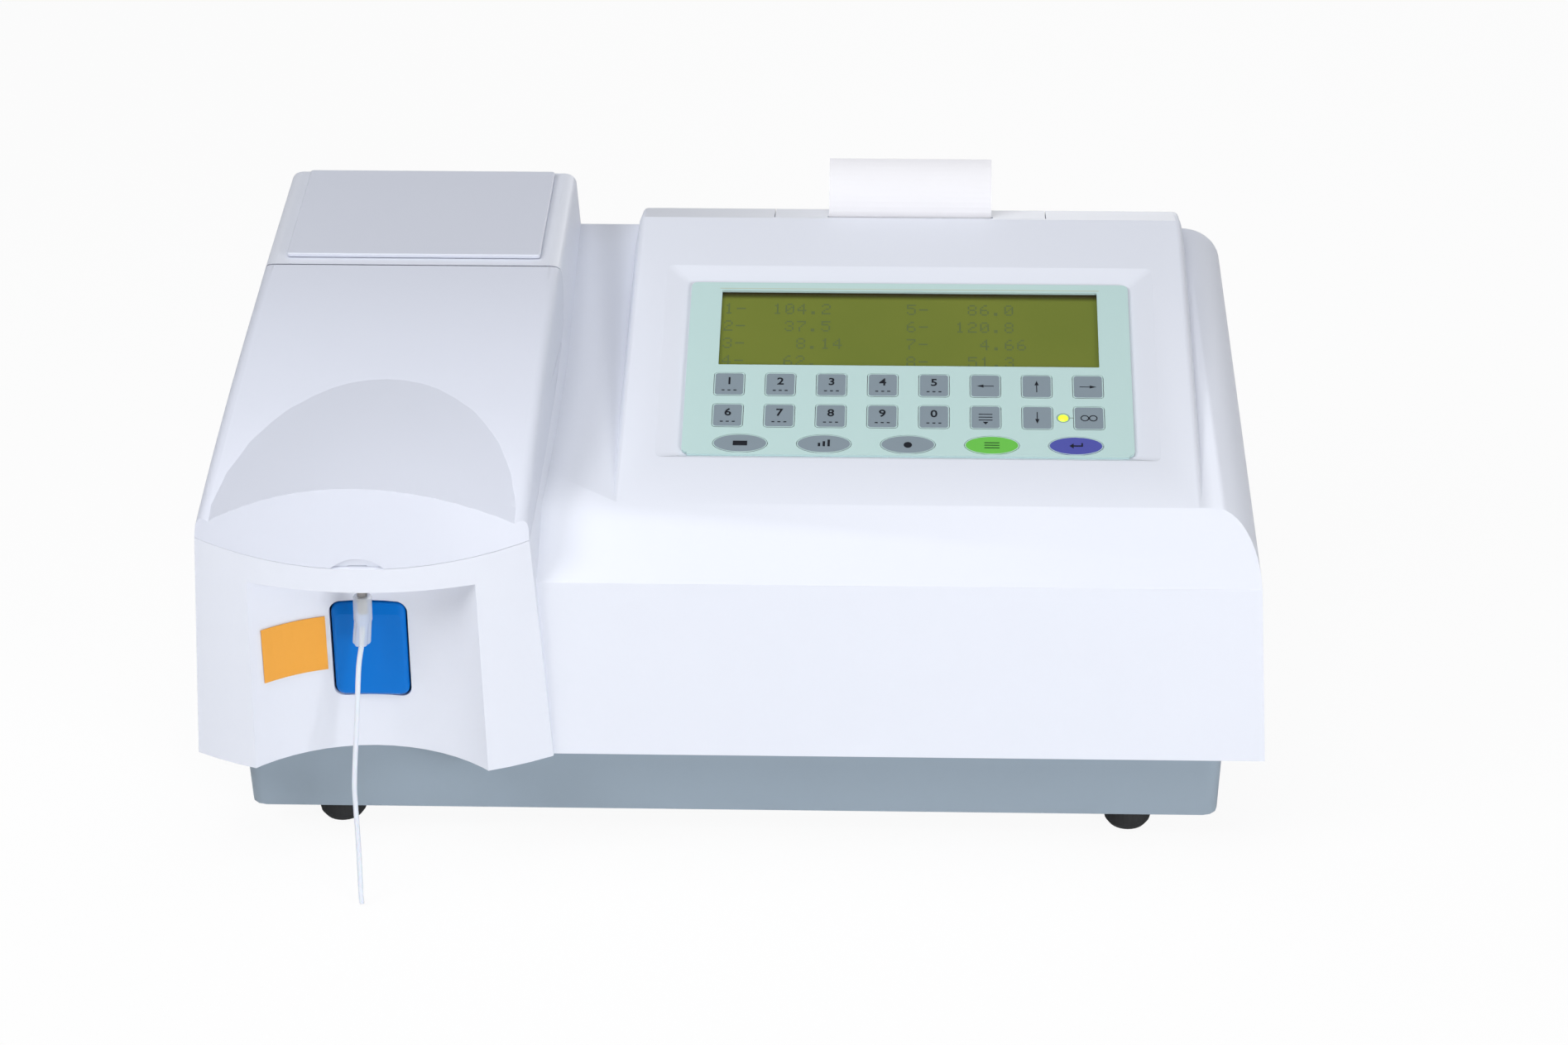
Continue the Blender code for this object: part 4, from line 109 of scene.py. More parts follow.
def makeGrain():
    group, start, end = makeGroup(
        "mouldedGrain",
        [
            ("Color", "NodeSocketColor", (0.8, 0.8, 0.8, 1)),
            ("Shade", "NodeSocketColor", (0.7, 0.7, 0.7, 1)),
            ("Cloud Scale", "NodeSocketFloat", 14.0),
            ("Grain Scale", "NodeSocketFloat", 2600.0),
            ("Roughness Low", "NodeSocketFloat", 0.38),
            ("Roughness High", "NodeSocketFloat", 0.5),
        ],
        [("Color", "NodeSocketColor"), ("Roughness", "NodeSocketFloat"), ("Height", "NodeSocketFloat")],
    )
    links = group.links
    place = addNode(group, "ShaderNodeTexCoord")
    # Wide clouds move the colour between its two shades, and the roughness with it
    cloud = addNode(group, "ShaderNodeTexNoise")
    cloud.inputs["Detail"].default_value = detail["cloud"]
    links.new(place.outputs["Object"], cloud.inputs["Vector"])
    links.new(start.outputs["Cloud Scale"], cloud.inputs["Scale"])
    mix = addNode(group, "ShaderNodeMix", data_type="RGBA")
    links.new(cloud.outputs["Fac"], mix.inputs["Factor"])
    links.new(start.outputs["Color"], mix.inputs[mixSockets["first"]])
    links.new(start.outputs["Shade"], mix.inputs[mixSockets["second"]])
    links.new(mix.outputs[mixSockets["result"]], end.inputs["Color"])
    spread = addNode(group, "ShaderNodeMapRange")
    links.new(cloud.outputs["Fac"], spread.inputs["Value"])
    links.new(start.outputs["Roughness Low"], spread.inputs["To Min"])
    links.new(start.outputs["Roughness High"], spread.inputs["To Max"])
    links.new(spread.outputs["Result"], end.inputs["Roughness"])
    # A fine grain gives the bump its height
    grain = addNode(group, "ShaderNodeTexNoise")
    grain.inputs["Detail"].default_value = detail["grain"]
    links.new(place.outputs["Object"], grain.inputs["Vector"])
    links.new(start.outputs["Grain Scale"], grain.inputs["Scale"])
    links.new(grain.outputs["Fac"], end.inputs["Height"])
    return group


grainGroup = makeGrain()
plainLook = {"fade": 0.94, "cloud": 14, "grain": 2600, "bump": 0.12, "depth": 0.00006}


def makeFinish(name, look):
    made = bpy.data.materials.new(name)
    made.use_nodes = True
    tree = made.node_tree
    shader = tree.nodes["Principled BSDF"]
    color = look["color"]
    shade = look.get("shade", tuple(c * plainLook["fade"] for c in color))
    group = addNode(tree, "ShaderNodeGroup", node_tree=grainGroup)
    group.inputs["Color"].default_value = (*color, 1)
    group.inputs["Shade"].default_value = (*shade, 1)
    group.inputs["Cloud Scale"].default_value = look.get("cloud", plainLook["cloud"])
    group.inputs["Grain Scale"].default_value = look.get("grain", plainLook["grain"])
    low, high = look["rough"]
    group.inputs["Roughness Low"].default_value = low
    group.inputs["Roughness High"].default_value = high
    bump = addNode(tree, "ShaderNodeBump")
    bump.inputs["Strength"].default_value = look.get("bump", plainLook["bump"])
    bump.inputs["Distance"].default_value = plainLook["depth"]
    links = tree.links
    links.new(group.outputs["Color"], shader.inputs["Base Color"])
    links.new(group.outputs["Roughness"], shader.inputs["Roughness"])
    links.new(group.outputs["Height"], bump.inputs["Height"])
    links.new(bump.outputs["Normal"], shader.inputs["Normal"])
    for socket, value in look.get("set", {}).items():
        shader.inputs[socket].default_value = value
    return made


# Colours lie between "color" and "shade", roughness in the range "rough"
finishes = {
    "shell": {
        "color": (0.765, 0.79, 0.87),
        "shade": (0.745, 0.775, 0.855),
        "rough": (0.36, 0.46),
        "set": {"Specular IOR Level": 0.4},
    },
    # the lid and lamp cover: the shell's colour darkened as painted shade, for the shade their upward-facing
    # tops take
    "lidShell": {
        "color": (0.685, 0.71, 0.80),
        "shade": (0.665, 0.695, 0.785),
        "rough": (0.36, 0.46),
        "set": {"Specular IOR Level": 0.4},
    },
    "tray": {"color": (0.305, 0.375, 0.445), "rough": (0.36, 0.48), "grain": 1600, "bump": 0.2},
    "feet": {"color": (0.012, 0.012, 0.013), "rough": (0.6, 0.8), "grain": 1500, "bump": 0.5},
    "overlay": {
        "color": (0.535, 0.715, 0.70),
        "shade": (0.515, 0.70, 0.685),
        "rough": (0.30, 0.38),
        "grain": 3800,
        "bump": 0.15,
    },
    "greyKey": {"color": (0.24, 0.298, 0.345), "rough": (0.34, 0.44), "grain": 3800, "bump": 0.15},
    "greenKey": {"color": (0.145, 0.55, 0.07), "rough": (0.34, 0.44), "grain": 3800, "bump": 0.15},
    "blueKey": {"color": (0.075, 0.085, 0.40), "rough": (0.34, 0.44), "grain": 3800, "bump": 0.15},
    "legend": {"color": (0.008, 0.010, 0.016), "rough": (0.5, 0.6), "set": {"Specular IOR Level": 0.2}},
    "aspirateBlue": {
        "color": (0.0, 0.165, 0.60),
        "shade": (0.0, 0.158, 0.575),
        "rough": (0.26, 0.36),
        "grain": 2200,
        "set": {"Specular IOR Level": 0.16},
    },
    "display": {
        "color": (0.195, 0.225, 0.032),
        "shade": (0.13, 0.175, 0.022),
        "cloud": 16,
        "rough": (0.10, 0.16),
        "bump": 0.02,
        "set": {"Specular IOR Level": 0.35},
    },
    "ghost": {"color": (0.115, 0.155, 0.050), "rough": (0.12, 0.2), "set": {"Specular IOR Level": 0.35}},
    # painted shadow: the colour of the shadow on the display glass under the window's top edge
    "windowShade": {"color": (0.040, 0.032, 0.012), "rough": (0.3, 0.4), "set": {"Specular IOR Level": 0.1}},
    # painted highlight: the pale colour of the window's top edge where it catches the light
    "windowLip": {"color": (0.52, 0.60, 0.48), "rough": (0.3, 0.4)},
    "lensRing": {"color": (0.30, 0.40, 0.36), "rough": (0.3, 0.4)},
    "lensGlow": {
        "color": (0.55, 0.85, 0.05),
        "rough": (0.15, 0.25),
        "set": {"Emission Color": (0.75, 1.0, 0.02, 1), "Emission Strength": 0.9},
    },
    "stainless": {
        "color": (0.30, 0.29, 0.285),
        "rough": (0.22, 0.34),
        "grain": 5000,
        "set": {"Metallic": 1.0},
    },
    "aluminium": {
        "color": (0.72, 0.73, 0.75),
        "rough": (0.3, 0.42),
        "grain": 3000,
        "bump": 0.2,
        "set": {"Metallic": 1.0},
    },
    "anodised": {"color": (0.03, 0.03, 0.035), "rough": (0.34, 0.46), "set": {"Metallic": 0.7}},
    "quartz": {
        "color": (0.88, 0.92, 0.94),
        "rough": (0.04, 0.08),
        "bump": 0.0,
        "set": {"Transmission Weight": 0.9, "IOR": 1.46},
    },
    "circuit": {"color": (0.015, 0.17, 0.06), "shade": (0.02, 0.12, 0.05), "cloud": 90, "rough": (0.4, 0.55)},
    "blackPlastic": {"color": (0.02, 0.02, 0.022), "rough": (0.42, 0.56), "grain": 1800, "bump": 0.3},
    "whitePlastic": {"color": (0.78, 0.78, 0.76), "rough": (0.36, 0.46)},
    "rollerRubber": {"color": (0.016, 0.016, 0.017), "rough": (0.55, 0.7), "grain": 1500, "bump": 0.4},
    "sleeve": {
        "color": (0.86, 0.90, 0.94),
        "rough": (0.16, 0.26),
        "grain": 900,
        "bump": 0.2,
        "set": {"Alpha": 0.48, "Specular IOR Level": 0.8},
    },
    "tube": {
        "color": (0.76, 0.81, 0.89),
        "rough": (0.24, 0.32),
        "set": {"Subsurface Weight": 0.15, "Subsurface Scale": 0.001},
    },
    "paper": {
        "color": (0.83, 0.825, 0.86),
        "shade": (0.81, 0.805, 0.84),
        "cloud": 40,
        "grain": 1400,
        "rough": (0.62, 0.75),
        "bump": 0.25,
    },
    "amber": {"color": (0.85, 0.375, 0.036), "shade": (0.83, 0.36, 0.033), "rough": (0.36, 0.46)},
}
finish = {name: makeFinish(name, look) for name, look in finishes.items()}
slotFinish = {
    "shell": "shell", "tray": "tray", "feet": "feet", "overlay": "overlay",
    "grey_key": "greyKey", "green_key": "greenKey", "blue_key": "blueKey",
    "blue_plastic": "aspirateBlue", "display_glass": "display", "indicator": "lensGlow",
    "stainless": "stainless", "sheet_aluminium": "aluminium", "anodised_black": "anodised",
    "quartz": "quartz", "circuit_board": "circuit", "black_plastic": "blackPlastic",
    "white_plastic": "whitePlastic", "roller_rubber": "rollerRubber", "clear_sleeve": "sleeve",
    "white_tube": "tube", "paper": "paper", "amber_film": "amber",
}
slotOf = {part["node"]: part["material_slot"] for part in record["subparts"]}
for node, piece in frame["nodes"].items():
    piece.data.materials.clear()
    piece.data.materials.append(finish[slotFinish[slotOf[node]]])
print("finishes made")


# Console frame: x to the right, y up the slope, z out of it, origin at the display's centre
console = {
    "middle": (0.0581, 0.024721, 0.146880),
    "tilt": math.radians(14.6),
    "overlayTop": -0.0003,  # the overlay's face under the console's own surface
}
consoleMatrix = Matrix.Translation(console["middle"]) @ Matrix.Rotation(console["tilt"], 4, "X")
toConsole = consoleMatrix.inverted()
overlayTop = console["overlayTop"]


# Softened copies of the moulded pieces, with the small edge rounds that moulding leaves
hump = {
    "middle": -0.1158,
    "halfSpan": 0.0505,
    "start": -0.0235,  # y of the arch's rear end
    "walls": 0.75,  # faces whose normal rises less belong to the lid's walls
    "plain": 0.004,  # the plain roof leans to the side by less than this
}
dish = {
    "halfWidth": 0.088,
    "rows": (-0.070, 0.036),  # its lower and upper end in the console frame
    "reach": 0.0018,
    "flat": 0.9995,
}
seam = {
    "front": -0.1005,  # y and z of the seam at the nose
    "height": 0.1213,
    "gap": 0.0004,
    "raise": 0.00022,  # how far the housing's rim comes up into the gap
    "back": -0.002,  # y of the seam's rear end
    "right": -0.055,  # x of the pod's right side
}
ridge = {
    "rearLimit": -0.080,  # the ridge over the nose lies ahead of this y
    "lowest": 0.128,  # and above this z
    "roof": 0.8,  # the face over the ridge looks up by more than this
    "nose": (-0.97, -0.5),  # how far the face under the ridge looks ahead
    "bevel": 0.0018,
    "share": 0.4,  # the lid's other edges have this share of the ridge's bevel
}
softEdges = {
    "main_housing": 0.0007,
    "flow_cell_lid": ridge["bevel"],
    "lamp_cover": 0.0004,
    "printer_cover": 0.0005,
    "base_tray": 0.0006,
    "aspirate_key": 0.0008,
}
moulding = {"angle": math.radians(32), "segments": 2, "weld": 0.000004, "level": math.radians(0.6)}
# the lid and lamp cover take the shell's colour with painted shade in it
shadedFinish = {"flow_cell_lid": "lidShell", "lamp_cover": "lidShell"}


def bodyOf(node):
    for body, nodes in record["behaviour"]["bodies"].items():
        if node in nodes:
            return body


def humpCrease(face):  # True on the lid's plain roof, False on the hump, None away from the arch
    middle = face.calc_center_median()
    beside = abs(middle.x - hump["middle"]) > hump["halfSpan"] or middle.y > hump["start"]
    if beside or face.normal.z < hump["walls"]:
        return None
    return abs(face.normal.x) < hump["plain"]


def dishCrease(face):  # True on the console's flat faces, False on the dish's slopes, None elsewhere
    local = toConsole @ face.calc_center_median()
    low, high = dish["rows"]
    if abs(local.x) > dish["halfWidth"] or not low < local.y < high or abs(local.z) > dish["reach"]:
        return None
    return (toConsole.to_3x3() @ face.normal).z > dish["flat"]


creaseTests = {"flow_cell_lid": humpCrease, "main_housing": dishCrease}


def markCreases(mesh, test):
    bm = bmesh.new()
    bm.from_mesh(mesh)
    for edge in bm.edges:
        if len(edge.link_faces) == 2 and {test(face) for face in edge.link_faces} == {True, False}:
            edge.smooth = False
    bm.to_mesh(mesh)
    bm.free()


def closeSeam(bm):  # the housing's rim comes up into the gap under the lid, so the seam is a fine line
    for vertex in bm.verts:
        x, y, z = vertex.co
        rim = seam["height"] + (y - seam["front"]) * math.tan(console["tilt"]) - seam["gap"]
        if x < seam["right"] and y < seam["back"] and abs(z - rim) < seam["gap"] / 4:
            vertex.co.z += seam["raise"]


def weighEdges(bm):  # the ridge gets the whole bevel and the other edges a share of it
    weights = bm.edges.layers.float.new("bevel_weight_edge")
    for edge in bm.edges:
        if len(edge.link_faces) != 2:
            continue
        turn = edge.calc_face_angle(0)
        if turn < moulding["angle"] / 2:
            continue
        rise = max(face.normal.z for face in edge.link_faces)
        ahead = min(face.normal.y for face in edge.link_faces)
        middle = (edge.verts[0].co + edge.verts[1].co) / 2
        overNose = middle.y < ridge["rearLimit"] and middle.z > ridge["lowest"]
        onRidge = overNose and rise > ridge["roof"] and ridge["nose"][0] < ahead < ridge["nose"][1]
        if onRidge or turn > moulding["angle"]:
            edge[weights] = 1.0 if onRidge else ridge["share"]


def softened(node, width, material):
    mesh = frame["nodes"][node].data.copy()
    bm = bmesh.new()
    bm.from_mesh(mesh)
    bmesh.ops.remove_doubles(bm, verts=bm.verts, dist=moulding["weld"])
    if node == "main_housing":
        closeSeam(bm)
    bmesh.ops.dissolve_limit(bm, angle_limit=moulding["level"], verts=bm.verts, edges=bm.edges)
    if node == "flow_cell_lid":
        weighEdges(bm)
    bm.to_mesh(mesh)
    bm.free()
    mesh.materials.clear()
    mesh.materials.append(finish[material])
    piece = bpy.data.objects.new(node + "Skin", mesh)
    scene.collection.objects.link(piece)
    bevel = piece.modifiers.new("bevel", "BEVEL")
    bevel.width = width
    bevel.segments = moulding["segments"]
    bevel.limit_method = "WEIGHT" if node == "flow_cell_lid" else "ANGLE"
    bevel.angle_limit = moulding["angle"]
    bevel.use_clamp_overlap = True
    mesh.shade_smooth()
    mesh.set_sharp_from_angle(angle=moulding["angle"])
    if node in creaseTests:
        markCreases(mesh, creaseTests[node])
    even = piece.modifiers.new("evenShade", "WEIGHTED_NORMAL")
    even.keep_sharp = True
    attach(piece, bodyOf(node))
    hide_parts(node)


for node, width in softEdges.items():
    softened(node, width, shadedFinish.get(node, slotFinish[slotOf[node]]))
print("moulded pieces softened")


# Helpers for pieces that scene.py adds
def meshPiece(name, bm, body, material, matrix=None):
    mesh = bpy.data.meshes.new(name)
    bmesh.ops.recalc_face_normals(bm, faces=bm.faces)
    bm.to_mesh(mesh)
    bm.free()
    if matrix is not None:
        mesh.transform(matrix)
    piece = bpy.data.objects.new(name, mesh)
    scene.collection.objects.link(piece)
    mesh.materials.append(finish[material])
    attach(piece, body)
    return piece


def joinRings(bm, ring, after):
    for k in range(len(ring)):
        j = (k + 1) % len(ring)
        bm.faces.new((ring[k], ring[j], after[j], after[k]))


def extruded(bm, outline, low, high):
    rings = [[bm.verts.new((x, y, z)) for x, y in outline] for z in (low, high)]
    joinRings(bm, *rings)
    bm.faces.new(rings[0][::-1])
    bm.faces.new(rings[1])


def rectangle(x, y, width, height):
    w, h = width / 2, height / 2
    return [(x - w, y - h), (x + w, y - h), (x + w, y + h), (x - w, y + h)]


def circle(x, y, radius, steps):
    turns = [2 * math.pi * k / steps for k in range(steps)]
    return [(x + radius * math.cos(t), y + radius * math.sin(t)) for t in turns]


def ringOutlines(x, y, radius, thick, steps=20):
    inner, outer = circle(x, y, radius, steps), circle(x, y, radius + thick, steps)
    return [(inner[k], outer[k], outer[k + 1 - steps], inner[k + 1 - steps]) for k in range(steps)]


def turned(outline, degrees):
    c, s = math.cos(math.radians(degrees)), math.sin(math.radians(degrees))
    return [(x * c - y * s, x * s + y * c) for x, y in outline]


# The keys' print, in the console frame from each key's centre
keypad = {
    "digit": 0.0048,
    "digitRise": 0.0014,
    "bold": 0.00009,
    "curveSteps": 4,
    "level": 0.00002,  # the print's middle over the overlay
    "ink": (0.00003, 0.00004),  # the print's reach below and above that level
    "line": 0.00035,
    "dash": (0.0010, 0.00045),
    "dashPitch": 0.0020,
    "dashDrop": 0.0030,
}
keyRim = {
    "outer": 0.00004,
    "inner": 0.00035,
    "level": 0.00003,
    "radius": 0.0010,
    "cornerSteps": 6,
    "ovalSteps": 40,
}
weldDistance = 0.000001
arrow = [
    (-0.0028, 0), (-0.0006, 0.0007), (-0.0006, 0.00015), (0.0028, 0.00015),
    (0.0028, -0.00015), (-0.0006, -0.00015), (-0.0006, -0.0007),
]
arrowTurns = {"left": 0, "up": -90, "right": 180, "down": 90}
feedMark = {
    "line": 0.0046,
    "top": 0.0015,
    "pitch": 0.0014,
    "tip": [(-0.0009, -0.0022), (0, -0.0034), (0.0009, -0.0022)],
}
linkMark = {"radius": 0.0011, "apart": 0.0014}
returnMark = [
    (-0.0022, 0.0), (-0.0008, 0.0012), (-0.0008, 0.0003), (0.0018, 0.0003), (0.0018, 0.0014),
    (0.0023, 0.0014), (0.0023, -0.0003), (-0.0008, -0.0003), (-0.0008, -0.0012),
]
growingBars = [rectangle(i * 0.0016, i * 0.0004, 0.0008, 0.0024 + i * 0.0008) for i in (-1, 0, 1)]
ovalMarks = {
    "key_oval_left": [rectangle(0, 0, 0.0048, 0.0022)],
    "key_oval_centre_left": growingBars,
    "key_oval_centre": [circle(0, -0.0002, 0.0014, 18)],
    "key_oval_green": [rectangle(0, i * 0.0012, 0.0050, keypad["line"]) for i in (1, 0, -1)],
    "key_oval_blue": [returnMark],
}


def keyCentre(node):
    low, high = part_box(node)
    local = toConsole @ ((Vector(low) + Vector(high)) / 2)
    return local.x, local.y


def keyHalves(node):  # half the key's width and height in the console frame
    local = [toConsole @ vertex.co for vertex in frame["nodes"][node].data.vertices]
    across, along = [point.x for point in local], [point.y for point in local]
    return (max(across) - min(across)) / 2, (max(along) - min(along)) / 2


def keyOutline(node, halfWidth, halfHeight, shrink):
    if "oval" in node:
        turns = [2 * math.pi * k / keyRim["ovalSteps"] for k in range(keyRim["ovalSteps"])]
        return [((halfWidth - shrink) * math.cos(t), (halfHeight - shrink) * math.sin(t)) for t in turns]
    radius, steps = keyRim["radius"], keyRim["cornerSteps"]
    w, h = halfWidth - shrink - radius, halfHeight - shrink - radius
    points = []
    for quarter, (cx, cy) in enumerate(((w, h), (-w, h), (-w, -h), (w, -h))):
        for k in range(steps + 1):
            t = math.pi / 2 * (quarter + k / steps)
            points.append((cx + radius * math.cos(t), cy + radius * math.sin(t)))
    return points


def printMark(name, node, outlines, weld=False):
    x, y = keyCentre(node)
    level = overlayTop + keypad["level"]
    below, above = keypad["ink"]
    bm = bmesh.new()
    for outline in outlines:
        extruded(bm, [(x + a, y + b) for a, b in outline], level - below, level + above)
    if weld:
        bmesh.ops.remove_doubles(bm, verts=bm.verts, dist=weldDistance)
    meshPiece(name, bm, node, "legend", consoleMatrix)


def printDigit(digit):
    node = "key_number_" + digit
    curve = bpy.data.curves.new("digit" + digit, "FONT")
    curve.body = digit
    curve.size = keypad["digit"]
    curve.align_x = "CENTER"
    curve.align_y = "CENTER"
    curve.extrude = keypad["ink"][1]
    curve.offset = keypad["bold"]
    curve.resolution_u = keypad["curveSteps"]
    holder = bpy.data.objects.new("digitHolder", curve)
    scene.collection.objects.link(holder)
    bpy.context.view_layer.update()
    graph = bpy.context.evaluated_depsgraph_get()
    mesh = bpy.data.meshes.new_from_object(holder.evaluated_get(graph))
    bpy.data.objects.remove(holder)
    x, y = keyCentre(node)
    place = (x, y + keypad["digitRise"], overlayTop + keypad["level"])
    mesh.transform(consoleMatrix @ Matrix.Translation(place))
    mesh.materials.clear()
    mesh.materials.append(finish["legend"])
    piece = bpy.data.objects.new("digit" + digit, mesh)
    scene.collection.objects.link(piece)
    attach(piece, node)
    dashes = [rectangle(i * keypad["dashPitch"], -keypad["dashDrop"], *keypad["dash"]) for i in (-1, 0, 1)]
    printMark("digitDashes" + digit, node, dashes)


def rimKey(node):  # the overlay's colour runs over the key's edge, so the patch is smaller than the key
    x, y = keyCentre(node)
    halves = keyHalves(node)
    level = overlayTop + keyRim["level"]
    bm = bmesh.new()
    rings = []
    for shrink in (keyRim["outer"], keyRim["inner"]):
        rings.append([bm.verts.new((x + a, y + b, level)) for a, b in keyOutline(node, *halves, shrink)])
    joinRings(bm, *rings)
    words = node.replace("key_", "").split("_")
    meshPiece("rim" + "".join(word.capitalize() for word in words), bm, node, "overlay", consoleMatrix)


def markKeys():
    for digit in "1234567890":
        printDigit(digit)
    for way, degrees in arrowTurns.items():
        printMark("arrow" + way.capitalize(), "key_arrow_" + way, [turned(arrow, degrees)])
    rows = [feedMark["top"] - i * feedMark["pitch"] for i in range(3)]
    lines = [rectangle(0, row, feedMark["line"], keypad["line"]) for row in rows]
    printMark("feedMark", "key_paper_feed", [*lines, feedMark["tip"]])
    apart, radius = linkMark["apart"], linkMark["radius"]
    rings = [quad for x in (-apart, apart) for quad in ringOutlines(x, 0, radius, keypad["line"])]
    printMark("linkMark", "key_link", rings, weld=True)
    for node, outlines in ovalMarks.items():
        printMark(node.replace("key_", "").replace("_", "") + "Mark", node, outlines)
    for node in slotOf:
        if node.startswith("key_"):
            rimKey(node)


markKeys()
print("keys marked")

# Print around the lamp, and the overlay's border below the oval keys
lensRing = {"gap": 0.0002, "width": 0.0005, "line": 0.0004, "level": 0.00002, "thick": 0.00003}
overlayEdge = {"width": 0.1468, "inner": -0.06202, "outer": -0.0629, "low": -0.00115, "rise": 0.00002}


def ringLens(values):  # the pale ring around the lamp and the short line to its key
    low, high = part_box("status_led")
    x, y = keyCentre("status_led")
    radius = (high[0] - low[0]) / 2
    keyEdge = keyCentre("key_link")[0] - keyHalves("key_link")[0]
    level = overlayTop + values["level"]
    bm = bmesh.new()
    for quad in ringOutlines(x, y, radius + values["gap"], values["width"]):
        extruded(bm, quad, level, level + values["thick"])
    bmesh.ops.remove_doubles(bm, verts=bm.verts, dist=weldDistance)
    start = x + radius + values["width"]
    line = rectangle((start + keyEdge) / 2, y, keyEdge - start, values["line"])
    extruded(bm, line, level, level + values["thick"])
    meshPiece("lensRing", bm, "root", "lensRing", consoleMatrix)


def edgeOverlay(values):
    inner, outer = values["inner"], values["outer"]
    bm = bmesh.new()
    strip = rectangle(0, (inner + outer) / 2, values["width"], inner - outer)
    extruded(bm, strip, values["low"], overlayTop + values["rise"])
    meshPiece("overlayEdge", bm, "root", "overlay", consoleMatrix)


ringLens(lensRing)
edgeOverlay(overlayEdge)

# Display with plain digits of dots, five dots wide and seven high
display = {
    "width": 0.1306,
    "height": 0.0395,
    "glassTop": -0.00150,
    "rows": (
        "1-  104.2      5-   86.0",
        "2-   37.5      6-  120.8",
        "3-    8.14     7-    4.66",
        "4-   62.9      8-   51.3",
    ),
    "firstRow": 0.01090,
    "rowPitch": 0.00882,
    "pitch": 0.00418,
    "dot": (0.00062, 0.00078),
    "dotShare": 0.92,  # of a dot's place that is filled
    "left": -0.0635,
    "skin": 0.00001,  # height of the digits over the glass, and of the shade over the digits
    "shade": 0.0044,
    "shadeFade": (0.85, 0.88),  # where the shade is full, and how strong
    "lip": 0.0004,
    "lipRise": 0.00003,
}
dotRows = {
    "0": "01110 10001 10011 10101 11001 10001 01110",
    "1": "00100 01100 00100 00100 00100 00100 01110",
    "2": "01110 10001 00001 00110 01000 10000 11111",
    "3": "01110 10001 00001 00110 00001 10001 01110",
    "4": "00010 00110 01010 10010 11111 00010 00010",
    "5": "11111 10000 11110 00001 00001 10001 01110",
    "6": "00110 01000 10000 11110 10001 10001 01110",
    "7": "11111 00001 00010 00100 01000 01000 01000",
    "8": "01110 10001 10001 01110 10001 10001 01110",
    "-": "00000 00000 00000 11111 00000 00000 00000",
    ".": "00000 00000 00000 00000 00000 01100 01100",
}
middleDotRow = 3


def flatQuad(bm, x, y, width, height, level):
    bm.faces.new([bm.verts.new((a, b, level)) for a, b in rectangle(x, y, width, height)])


def fadeShade(made, full, strength):  # the shade thins out down the window, as a soft shadow does
    tree = made.node_tree
    place = addNode(tree, "ShaderNodeTexCoord")
    apart = addNode(tree, "ShaderNodeSeparateXYZ")
    ramp = addNode(tree, "ShaderNodeMapRange", interpolation_type="SMOOTHSTEP")
    ramp.inputs["From Min"].default_value = 0.0
    ramp.inputs["From Max"].default_value = full
    ramp.inputs["To Max"].default_value = strength
    tree.links.new(place.outputs["Generated"], apart.inputs[0])
    tree.links.new(apart.outputs["Y"], ramp.inputs["Value"])
    tree.links.new(ramp.outputs["Result"], tree.nodes["Principled BSDF"].inputs["Alpha"])


def litDots(values):  # the x and y of each dot that is dark
    dotWidth, dotHeight = values["dot"]
    for i, words in enumerate(values["rows"]):
        for k, sign in enumerate(words):
            for row, line in enumerate(dotRows.get(sign, "").split()):
                for column, lit in enumerate(line):
                    if lit == "1":
                        x = values["left"] + k * values["pitch"] + (column + 0.5) * dotWidth
                        y = values["firstRow"] - i * values["rowPitch"] + (middleDotRow - row) * dotHeight
                        yield x, y


def drawDisplay(values):
    width, height, skin = values["width"], values["height"], values["skin"]
    level = values["glassTop"] + skin
    dotWidth, dotHeight = (side * values["dotShare"] for side in values["dot"])
    bm = bmesh.new()
    for x, y in litDots(values):
        flatQuad(bm, x, y, dotWidth, dotHeight, level)
    meshPiece("ghostDigits", bm, "root", "ghost", consoleMatrix)
    # painted shadow: a dark band that fades down from the window's top edge, for the shadow that edge casts
    # on the recessed glass
    bm = bmesh.new()
    flatQuad(bm, 0, (height - values["shade"]) / 2, width, values["shade"], level + skin)
    meshPiece("displayShade", bm, "root", "windowShade", consoleMatrix)
    fadeShade(finish["windowShade"], *values["shadeFade"])
    # painted highlight: a pale strip along the window's top edge, for the light that edge catches
    bm = bmesh.new()
    flatQuad(bm, 0, (height + values["lip"]) / 2, width, values["lip"], overlayTop + values["lipRise"])
    meshPiece("displayLip", bm, "root", "windowLip", consoleMatrix)


drawDisplay(display)
print("display drawn")

# Tube that hangs from the nozzle's sleeve
tube = {
    "radius": 0.00085,
    "roundness": 4,
    "count": 40,  # points along its length
    "route": [
        (-0.118706, -0.09087, 0.095132), (-0.119391, -0.09087, 0.088618), (-0.1208, -0.09107, 0.08),
        (-0.1217, -0.09467, 0.0653), (-0.1232, -0.10017, 0.0429), (-0.1231, -0.10267, 0.0338),
        (-0.1224, -0.10667, 0.02), (-0.1219, -0.11167, 0.0042), (-0.1217, -0.11247, 0.0012),
    ],
}


def smoothRoute(points, count):  # points at even distances on a smooth curve, and the curve's length
    points = [Vector(p) for p in points]
    ends = [points[0] * 2 - points[1], *points, points[-1] * 2 - points[-2]]
    dense = []
    for i in range(len(points) - 1):
        a, b, c, d = ends[i : i + 4]
        for step in range(count):
            t = step / count
            first = (c - a) * t + (2 * a - 5 * b + 4 * c - d) * t**2
            dense.append(b + (first + (3 * b - 3 * c + d - a) * t**3) / 2)
    dense.append(points[-1])
    lengths = [0.0]
    for before, after in zip(dense, dense[1:]):
        lengths.append(lengths[-1] + (after - before).length)
    spread, index = [], 0
    for step in range(count):
        wanted = lengths[-1] * step / (count - 1)
        while index < len(lengths) - 2 and lengths[index + 1] < wanted:
            index += 1
        share = (wanted - lengths[index]) / (lengths[index + 1] - lengths[index])
        spread.append(dense[index].lerp(dense[index + 1], share))
    return spread, lengths[-1]


